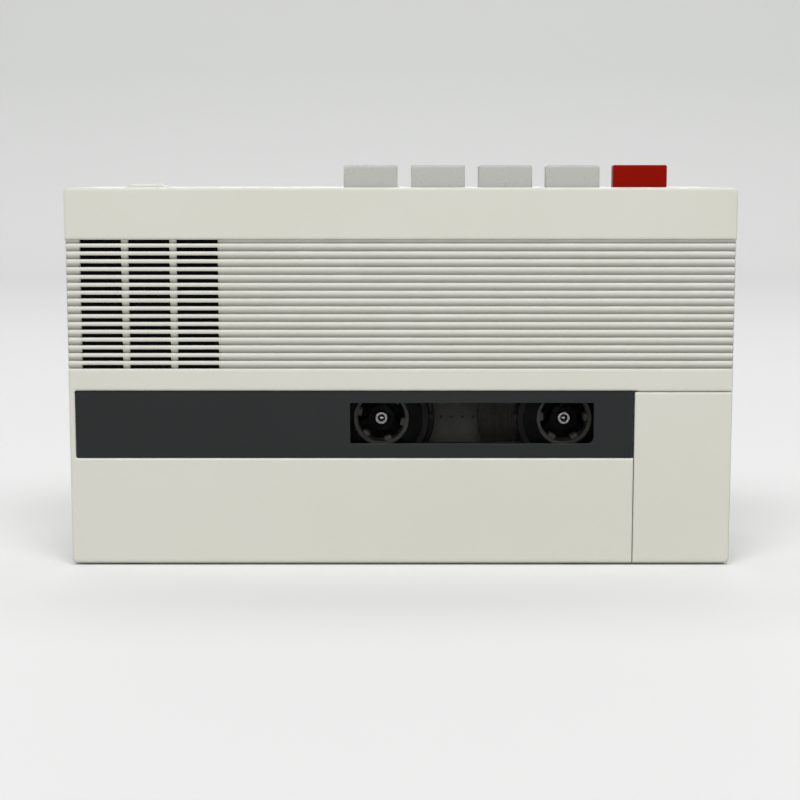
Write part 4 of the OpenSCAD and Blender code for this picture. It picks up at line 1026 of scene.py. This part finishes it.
@dataclass
class SubAssembly:
    """Pieces that belong together; dressing covers the CAD nodes, building adds pieces."""

    wardrobe: Wardrobe
    worn: dict[str, Finish] = field(default_factory=dict)

    def dress(self) -> None:
        """Puts each CAD node's finish on it."""
        for name, finish in self.worn.items():
            self.wardrobe.dress(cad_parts[name], finish)
            LOG.info("dressed %s in %s", name, finish.name)

    def build(self) -> None:
        """Adds the pieces that the CAD frame doesn't hold."""

    def add(self, piece: bpy.types.Object, slot: str | None, *finishes: Finish) -> bpy.types.Object:
        """Finishes a new piece.

        Args:
            piece: The new piece.
            slot: The record's material slot, if it has one; not used.
            finishes: Finishes in slot order.

        Returns:
            The piece.
        """
        self.wardrobe.dress(piece, *finishes)
        LOG.info("built %s", piece.name)
        return piece


@dataclass
class CaseShells(SubAssembly):
    """Front and rear shell, battery cover and the screws that join them."""

    worn: dict[str, Finish] = field(default_factory=lambda: {
        "main_case": OFF_WHITE,
        "rear_cover": OFF_WHITE,
        "battery_cover": OFF_WHITE,
        "case_screws": SCREW_STEEL,
        "latch_clip": SPRING_STEEL,
    })


@dataclass
class FrontLid(SubAssembly):
    """Ribbed lid with its strip, window, sound cloth and press plate."""

    worn: dict[str, Finish] = field(default_factory=lambda: {
        "cassette_lid": OFF_WHITE,
        "lid_release": OFF_WHITE,
        "release_posts": SHAFT_STEEL,
        "release_clips": SPRING_STEEL,
        "hinge_pins": SHAFT_STEEL,
        "window_strip": STRIP_GREY,
        "window_lens": SMOKED,
    })
    cloth_cells: int = 48
    cloth_wave: float = 0.02

    def build(self) -> None:
        """Stretches the sound cloth behind the slots."""
        low, high = (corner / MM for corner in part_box("speaker_screen"))
        mesh = bmesh.new()
        count = self.cloth_cells
        rows = []
        for i in range(count + 1):
            z = low.z + (high.z - low.z) * i / count
            row = []
            for j in range(count + 1):
                x = low.x + (high.x - low.x) * j / count
                sag = self.cloth_wave * math.sin(math.pi * i / count) * math.sin(math.pi * j / count)
                row.append(mesh.verts.new((x, (low.y + high.y) / 2 + sag, z)))
            rows.append(row)
        for lower, upper in zip(rows, rows[1:]):
            for j in range(count):
                mesh.faces.new((lower[j], lower[j + 1], upper[j + 1], upper[j]))
        cloth = piece_of("sound_cloth", mesh, "lid", smooth=True)
        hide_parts("speaker_screen")
        self.add(cloth, "black_cloth", SOUND_CLOTH)


@dataclass
class Cassette(SubAssembly):
    """The compact cassette behind the window."""

    worn: dict[str, Finish] = field(default_factory=lambda: {
        "cassette_front": CASSETTE_BLACK,
        "cassette_back": CASSETTE_BLACK,
        "cassette_windows": CLEAR,
        "hub_takeup": HUB_WHITE,
        "hub_supply": HUB_WHITE,
    })
    middle: Spot = (16.75, 32.2)
    hub_half: float = 21.25
    front_y: float = -12.0
    middle_y: float = -7.65
    screws: tuple[Spot, ...] = ((-29.45, 7.0), (62.95, 7.0), (-29.45, 60.8), (62.95, 60.8), (16.75, 52.6))
    screw_r: float = 1.5
    screw_cross: float = 0.95
    screw_head: float = 0.8
    shank: tuple[Spot, ...] = ((0.0, 0.8), (0.8, 0.8), (0.8, 6.5), (0.0, 7.0))
    label_half: float = 46.0
    label_z: Spot = (5.6, 47.6)
    label_hole: Spot = (33.0, 11.4)
    label_corners: Spot = (2.0, 3.0)
    label_t: float = 0.08
    sheet_half: float = 48.0
    sheet_z: Spot = (5.0, 61.0)
    sheet_corner: float = 1.0
    sheet_hole: float = 11.4
    sheet_y: Spot = (2.4, 2.5)
    mark_count: int = 9
    mark_pitch: float = 2.47
    mark_lift: float = 0.5
    mark: tuple[Spot, ...] = ((0.0, -0.12), (0.2, -0.1), (0.34, 0.0), (0.34, 0.05), (0.0, 0.05))
    rim: Spot = (9.6, 10.9)
    rim_slope: float = 0.1
    rim_y: Spot = (-0.12, 0.05)

    def hubs(self) -> tuple[Spot, Spot]:
        """Axes of the take-up hub and the supply hub."""
        x, z = self.middle
        return (x - self.hub_half, z), (x + self.hub_half, z)

    def dress(self) -> None:
        """Adds the wound tape to the plain finishes."""
        super().dress()
        for name, hub in zip(("tape_takeup", "tape_supply"), self.hubs()):
            tape = Turned(
                "wound tape " + name, srgb(48, 36, 29), centre=hub, pitch=0.00012, dark=srgb(30, 23, 19),
                metallic=0.0, smooth=0.18, matt=0.34, relief=0.00001,
            )
            self.wardrobe.dress(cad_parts[name], tape)

    def build(self) -> None:
        """Adds screws, label, slip sheet, the rims round the hubs and the window's marks."""
        heads = bmesh.new()
        for spot in self.screws:
            span = (self.front_y, self.front_y + self.screw_head)
            cross_screw(heads, spot, span, self.screw_r, self.screw_cross)
            lathe(heads, self.shank, facing(spot, self.front_y), 16)
        screws = piece_of("cassette_cross_screws", heads, "case")
        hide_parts("cassette_screws")
        self.add(screws, "screw_steel", SCREW_STEEL)
        self._label()
        self._slip_sheet()
        self._rims()
        self._marks()

    def _label(self) -> None:
        """Plain paper label round the hubs."""
        x, z = self.middle
        wide, high = self.label_hole
        outer_r, hole_r = self.label_corners
        outer = rounded((x - self.label_half, x + self.label_half), self.label_z, outer_r)
        hole = rounded((x - wide, x + wide), (z - high, z + high), hole_r)
        mesh = cut_sheet(outer, [hole], (self.front_y - self.label_t, self.front_y))
        self.add(piece_of("cassette_label", mesh, "case"), None, LABEL_PAPER)

    def _slip_sheet(self) -> None:
        """Slip sheet that the tape runs along."""
        x = self.middle[0]
        outer = rounded((x - self.sheet_half, x + self.sheet_half), self.sheet_z, self.sheet_corner)
        holes = [circle(hub, self.sheet_hole) for hub in self.hubs()]
        front, back = self.sheet_y
        mesh = cut_sheet(outer, holes, (self.middle_y + front, self.middle_y + back))
        self.add(piece_of("slip_sheet_back", mesh, "case"), None, LINER)

    def _rims(self) -> None:
        """Low rim moulded round each hub."""
        inner, outer = self.rim
        top, foot = self.rim_y
        slope = self.rim_slope
        edge = [(inner, foot), (inner + slope, top), (outer - slope, top), (outer, foot), (inner, foot)]
        mesh = bmesh.new()
        for hub in self.hubs():
            lathe(mesh, edge, facing(hub, self.front_y), 96)
        bmesh.ops.remove_doubles(mesh, verts=mesh.verts, dist=WELD)
        self.add(piece_of("hub_rims", mesh, "case"), None, RIM_GREY)

    def _marks(self) -> None:
        """Row of small marks moulded on the window."""
        mesh = bmesh.new()
        start = self.middle[0] - self.mark_pitch * (self.mark_count - 1) / 2
        for i in range(self.mark_count):
            spot = (start + i * self.mark_pitch, self.middle[1] + self.mark_lift)
            lathe(mesh, self.mark, facing(spot, self.front_y), 20)
        self.add(piece_of("window_marks", mesh, "case", smooth=True), None, MARK_GREY)


@dataclass
class TapeDrive(SubAssembly):
    """Deck plate, spindles, heads, flywheel, motor and belts."""

    worn: dict[str, Finish] = field(default_factory=lambda: {
        "deck_plate": DECK_STEEL,
        "takeup_spindle": BLACK_PLASTIC,
        "supply_spindle": BLACK_PLASTIC,
        "takeup_pulley": BLACK_PLASTIC,
        "capstan_shaft": SHAFT_STEEL,
        "capstan_bearing": BRASS,
        "motor_bracket": DECK_STEEL,
        "motor_pulley": BRASS,
        "drive_belt": BELT_RUBBER,
        "takeup_belt": BELT_RUBBER,
        "head_plate": DECK_STEEL,
        "tape_head": HEAD_METAL,
        "erase_head": BLACK_PLASTIC,
        "pinch_arm": DECK_STEEL,
        "pinch_roller": BELT_RUBBER,
    })
    spindles: tuple[tuple[str, Spot], ...] = (("takeup", (-4.5, 32.2)), ("supply", (38.0, 32.2)))
    tip_y: float = -10.9
    tip: tuple[Spot, ...] = (
        (0.0, 0.3), (1.42, 0.3), (1.42, 0.06), (1.36, 0.0), (0.86, 0.0),
        (0.78, 0.12), (0.62, 0.12), (0.62, -0.12), (0.45, -0.26), (0.0, -0.34),
    )
    capstan: Spot = (-0.8, 60.6)
    motor: Spot = (52.0, 17.0)
    deck_screws: tuple[Spot, ...] = ((-25.0, 6.2), (68.5, 6.2), (-25.0, 75.0), (68.5, 75.0))
    screw_r: float = 2.2
    screw_cross: float = 1.3
    screw_y: Spot = (-1.2, 0.0)
    shank: tuple[Spot, ...] = ((0.0, 1.2), (1.1, 1.2), (1.1, 3.9), (0.0, 4.2))

    def dress(self) -> None:
        """Adds the turned finishes of flywheel and motor."""
        super().dress()
        wheel = Turned("turned flywheel", (0.6, 0.45, 0.2), centre=self.capstan, dark=(0.5, 0.36, 0.16))
        can = Turned(
            "plated motor can", (0.55, 0.55, 0.54), centre=self.motor, dark=(0.5, 0.5, 0.49), pitch=0.0006
        )
        self.wardrobe.dress(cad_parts["flywheel"], wheel)
        self.wardrobe.dress(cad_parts["motor_can"], can)

    def build(self) -> None:
        """Adds the spindles' bright tips and the deck's cross screws."""
        for body, spot in self.spindles:
            mesh = bmesh.new()
            lathe(mesh, self.tip, facing(spot, self.tip_y))
            self.add(piece_of(body + "_spindle_tip", mesh, body, smooth=True), "shaft_steel", SHAFT_STEEL)
        heads = bmesh.new()
        for spot in self.deck_screws:
            cross_screw(heads, spot, self.screw_y, self.screw_r, self.screw_cross)
            lathe(heads, self.shank, facing(spot, self.screw_y[0]), 20)
        screws = piece_of("deck_cross_screws", heads, "case")
        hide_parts("deck_screws")
        self.add(screws, "screw_steel", SCREW_STEEL)


@dataclass
class KeyBank(SubAssembly):
    """Five keys with their bracket and return springs."""

    worn: dict[str, Finish] = field(default_factory=lambda: {
        "key_rewind": KEY_GREY,
        "key_play": KEY_GREY,
        "key_forward": KEY_GREY,
        "key_stop": KEY_GREY,
        "key_record": KEY_RED,
        "key_bracket": DECK_STEEL,
    })
    names: tuple[str, ...] = ("rewind", "play", "forward", "stop", "record")
    turns: float = 6.0
    wire: float = 0.22
    pressed: float = 2.5 / 6.0

    def build(self) -> None:
        """Winds a return spring under each key."""
        for name in self.names:
            low, high = (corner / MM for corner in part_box("spring_" + name))
            radius = (high.x - low.x) / 2 - self.wire
            middle = Vector(((low.x + high.x) / 2, (low.y + high.y) / 2, 0))
            steps = int(self.turns * 20)
            path = []
            for i in range(steps + 1):
                turn = 2 * math.pi * self.turns * i / steps
                rise = low.z + self.wire + (high.z - low.z - 2 * self.wire) * i / steps
                path.append(middle + Vector((radius * math.cos(turn), radius * math.sin(turn), rise)))
            mesh = bmesh.new()
            sweep(mesh, path, self.wire)
            coil = piece_of("coil_" + name, mesh, "case", smooth=True)
            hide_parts("spring_" + name)
            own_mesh(coil)
            self.add(coil, "spring_steel", SPRING_STEEL)


@dataclass
class VolumeControl(SubAssembly):
    """Slider knob and its slide control."""

    worn: dict[str, Finish] = field(default_factory=lambda: {
        "volume_knob": OFF_WHITE,
        "volume_pot": BLACK_PLASTIC,
    })


@dataclass
class Speaker(SubAssembly):
    """Speaker behind the sound slots."""

    worn: dict[str, Finish] = field(default_factory=lambda: {
        "speaker_basket": DECK_STEEL,
        "speaker_magnet": MAGNET_IRON,
    })
    centre: Spot = (-54.0, 59.5)
    rim_r: float = 14.0
    front_y: float = -12.8
    paper: float = 0.25
    roll_r: float = 12.5
    roll: Spot = (0.7, 0.55)
    cone_r: Spot = (11.8, 5.0)
    cone_y: Spot = (0.1, 6.2)
    cone_flare: float = 0.85
    throat: float = 0.4
    ribs: int = 4
    rib: float = 0.12
    cap_r: float = 4.6
    cap_y: float = 5.5
    cap_rise: float = 1.9
    steps: int = 8

    def _rolled_edge(self) -> Outline:
        """Profile of the rim and the half round roll that lets the cone move.

        Returns:
            Radius and depth of its points.
        """
        wide, high = self.roll
        turns = [math.pi * i / self.steps for i in range(1, self.steps)]
        flat = [(self.rim_r, self.paper), (self.rim_r, 0.0), (self.roll_r + wide, 0.0)]
        return flat + [(self.roll_r + wide * math.cos(t), high * math.sin(t)) for t in turns]

    def _cone(self) -> Outline:
        """Profile of the ribbed cone down to its throat.

        Returns:
            Radius and depth of its points.
        """
        (mouth, throat), (start, end) = self.cone_r, self.cone_y
        profile: Outline = []
        count = 3 * self.steps
        for i in range(count):
            share = i / (count - 1)
            rib = self.rib * math.sin(share * 2 * math.pi * self.ribs)
            along = start + (end - start) * share ** self.cone_flare + rib
            profile.append((mouth - (mouth - throat) * share, along))
        return profile + [(throat, end - self.throat)]

    def _dust_cap(self) -> Outline:
        """Profile of the dome over the throat.

        Returns:
            Radius and depth of its points.
        """
        turns = [math.pi / 2 * i / self.steps for i in range(self.steps)]
        dome = [(self.cap_r * math.cos(t), self.cap_y - self.cap_rise * math.sin(t)) for t in turns]
        return dome + [(0.0, self.cap_y - self.cap_rise)]

    def build(self) -> None:
        """Forms the paper cone with its rolled edge, ribs and dust cap."""
        profile = self._rolled_edge() + self._cone() + self._dust_cap()
        mesh = bmesh.new()
        lathe(mesh, profile, facing(self.centre, self.front_y), 72)
        cone = piece_of("paper_cone", mesh, "case", smooth=True)
        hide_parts("speaker_cone")
        self.add(cone, "cone_paper", CONE_PAPER)


@dataclass
class Batteries(SubAssembly):
    """Battery box, contacts and four cells."""

    worn: dict[str, Finish] = field(default_factory=lambda: {
        "battery_box": BLACK_PLASTIC,
        "battery_contacts": SPRING_STEEL,
    })
    start_x: float = -69.15
    axis_y: float = 13.0
    first_z: float = 11.6
    pitch: float = 15.2
    radius: float = 7.1
    length: float = 49.3
    band_start: float = 36.0
    nub_r: float = 2.7
    nub: float = 1.2
    foot_r: float = 6.3
    crimp_r: float = 6.0
    count: int = 4

    def _skins(self) -> list[tuple[int, Outline]]:
        """Slot and profile of a cell's foot, jacket, band and cap, from its flat end to its nub.

        Returns:
            The four slots and profiles.
        """
        r, end, whole = self.radius, self.length, self.length + self.nub
        foot = [(0.0, 0.15), (4.6, 0.15), (5.2, 0.0), (self.foot_r, 0.0)]
        jacket = [(self.foot_r, 0.0), (r - 0.25, 0.05), (r, 0.4), (r, self.band_start)]
        band = [(r, self.band_start), (r, end - 0.5), (r - 0.3, end - 0.1), (self.crimp_r, end)]
        dish = [(self.crimp_r, end), (3.4, end - 0.05), (self.nub_r, end)]
        nub = [(self.nub_r, end + 0.9), (2.3, whole), (0.0, whole)]
        return [(2, foot), (0, jacket), (1, band), (2, dish + nub)]

    def build(self) -> None:
        """Turns the four cells, laid end for end in turn."""
        for i in range(self.count):
            z = self.first_z + i * self.pitch
            turned = i % 2
            start = Matrix.Translation((self.start_x + (self.length + self.nub) * turned, self.axis_y, z))
            place = start @ Matrix.Rotation(math.pi / 2 - math.pi * turned, 4, "Y")
            mesh = bmesh.new()
            for slot, profile in self._skins():
                lathe(mesh, profile, place, 48, slot)
            bmesh.ops.remove_doubles(mesh, verts=mesh.verts, dist=WELD)
            cell = piece_of(f"battery_cell_{i + 1}", mesh, "case", smooth=True)
            self.add(cell, "cell_jacket", CELL_JACKET, CELL_BAND, SCREW_STEEL)
        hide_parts("battery_cells")


@dataclass
class Amplifier(SubAssembly):
    """Circuit card and the parts on it."""

    worn: dict[str, Finish] = field(default_factory=lambda: {
        "circuit_board": BOARD_BROWN,
        "board_components": BLACK_PLASTIC,
    })


@dataclass(frozen=True)
class Lamp:
    """A soft area lamp, with place, size and aim in metres and its beam's spread in degrees."""

    name: str
    place: Point
    size: Spot
    watts: float
    aim: Point = (0.0, 0.0, 0.045)
    spread: float = 180.0

    def hang(self) -> None:
        """Puts the lamp in its place and turns it to its aim."""
        light = bpy.data.lights.new(self.name, "AREA")
        light.shape = "RECTANGLE"
        light.size, light.size_y = self.size
        light.energy = self.watts
        light.spread = math.radians(self.spread)
        lamp = bpy.data.objects.new(self.name, light)
        lamp.location = self.place
        lamp.visible_camera = False
        toward = Vector(self.aim) - Vector(self.place)
        lamp.rotation_euler = toward.to_track_quat("-Z", "Y").to_euler()
        bpy.context.scene.collection.objects.link(lamp)


@dataclass
class Studio:
    """Pale sweep, soft lamps, surroundings and camera."""

    sweep_half: float = 4.0
    sweep_front: float = -3.0
    sweep_bend: float = 1.05
    sweep_radius: float = 0.6
    sweep_height: float = 2.6
    sweep_drop: float = 0.00004
    sweep_steps: int = 24
    wall_start: Spot = (0.0, 0.2)
    floor_colour: Colour = (0.8, 0.805, 0.8)
    wall_colour: Colour = (0.69, 0.7, 0.69)
    floor_bounce: Colour = (0.49, 0.49, 0.485)
    room_colour: Colour = srgb(228, 230, 228)
    room_tint: Colour = (1.0, 1.0, 0.99)
    room_light: float = 0.08
    lamps: tuple[Lamp, ...] = (
        Lamp("high softbox", (0.0, -1.5, 2.6), (3.2, 1.4), 82.0),
        Lamp("front fill", (0.0, -1.9, 0.45), (2.2, 0.8), 12.0),
        Lamp("rear softbox", (0.0, 0.74, 1.35), (2.8, 0.5), 8.0, aim=(0.0, 0.78, 0.0)),
        Lamp("rear fill", (0.0, 1.25, 0.42), (2.4, 0.4), 1.3, aim=(0.0, 0.0, 0.42), spread=60.0),
    )
    eye: Point = (-0.00017, -0.414, 0.0885)
    tilt: float = 7.36
    lens: float = 78.6
    sensor: float = 36.0
    clip: Spot = (0.01, 50.0)

    def build(self) -> None:
        """Sets the stage."""
        self._sweep()
        self._room()
        for lamp in self.lamps:
            lamp.hang()
        self._camera()
        bpy.context.scene.view_settings.view_transform = "Standard"

    def _sweep(self) -> None:
        """Floor that bends up into a back wall."""
        profile = [(self.sweep_front, 0.0), (self.sweep_bend, 0.0)]
        for i in range(1, self.sweep_steps + 1):
            turn = math.pi / 2 * i / self.sweep_steps
            rise = self.sweep_radius * (1 - math.cos(turn))
            profile.append((self.sweep_bend + self.sweep_radius * math.sin(turn), rise))
        profile.append((self.sweep_bend + self.sweep_radius, self.sweep_height))
        mesh = bmesh.new()
        sides = (-self.sweep_half, self.sweep_half)
        rows = [[mesh.verts.new((x, y, z - self.sweep_drop)) for x in sides] for y, z in profile]
        for low, high in zip(rows, rows[1:]):
            mesh.faces.new((low[0], low[1], high[1], high[0]))
        data = bpy.data.meshes.new("pale_sweep")
        mesh.to_mesh(data)
        mesh.free()
        data.polygons.foreach_set("use_smooth", [True] * len(data.polygons))
        floor = bpy.data.objects.new("pale_sweep", data)
        bpy.context.scene.collection.objects.link(floor)
        made = Material("pale sweep")
        wiring = made.wiring
        split = wiring.node("SeparateXYZ")
        wiring.feed(split.inputs[0], wiring.place())
        height = wiring.remap(split.outputs["Z"], self.wall_start, 0.0, 1.0)
        seen = wiring.blend(height, self.floor_colour, self.wall_colour)
        tint = wiring.blend(self._shown(wiring), self.floor_bounce, seen)
        made.set(Base_Color=tint, Roughness=0.7, Specular_IOR_Level=0.1)
        data.materials.append(made.data)

    @staticmethod
    def _shown(wiring: Wiring) -> bpy.types.NodeSocket:
        """Socket that is 1 where the stage is seen, directly, mirrored or through glass.

        Args:
            wiring: Wiring of the floor's material or of the room.

        Returns:
            The socket.
        """
        path = wiring.node("LightPath").outputs
        mirrored = wiring.math("MAXIMUM", path["Is Glossy Ray"], path["Is Transmission Ray"])
        return wiring.math("MAXIMUM", path["Is Camera Ray"], mirrored)

    def _room(self) -> None:
        """Even surroundings: pale where they are seen, softer where they light."""
        world = bpy.data.worlds.new("studio room")
        world.use_nodes = True
        bpy.context.scene.world = world
        wiring = Wiring(world.node_tree)
        seen = world.node_tree.nodes["Background"]
        wiring.feed(seen.inputs["Color"], self.room_colour)
        lit = wiring.node("Background")
        wiring.feed(lit.inputs["Color"], self.room_tint)
        lit.inputs["Strength"].default_value = self.room_light
        mix = wiring.node("MixShader")
        wiring.feed(mix.inputs[0], self._shown(wiring))
        wiring.feed(mix.inputs[1], lit.outputs[0])
        wiring.feed(mix.inputs[2], seen.outputs[0])
        wiring.feed(world.node_tree.nodes["World Output"].inputs["Surface"], mix.outputs[0])

    def _camera(self) -> None:
        """Sets the camera at the photograph's place."""
        data = bpy.data.cameras.new("front camera")
        data.lens = self.lens
        data.sensor_width = self.sensor
        data.clip_start, data.clip_end = self.clip
        camera = bpy.data.objects.new("front camera", data)
        camera.location = self.eye
        camera.rotation_euler = (math.radians(90 - self.tilt), 0.0, 0.0)
        bpy.context.scene.collection.objects.link(camera)
        bpy.context.scene.camera = camera


def main() -> None:
    """Builds and dresses the recorder, then sets the studio."""
    logging.basicConfig(level=logging.INFO, format="%(name)s: %(message)s")
    Studio().build()
    wardrobe = Wardrobe()
    kinds: list[Callable[[Wardrobe], SubAssembly]] = [
        CaseShells, FrontLid, Cassette, TapeDrive, KeyBank, VolumeControl, Speaker, Batteries, Amplifier,
    ]
    for kind in kinds:
        part = kind(wardrobe)
        part.dress()
        part.build()


if __name__ == "__main__":
    main()
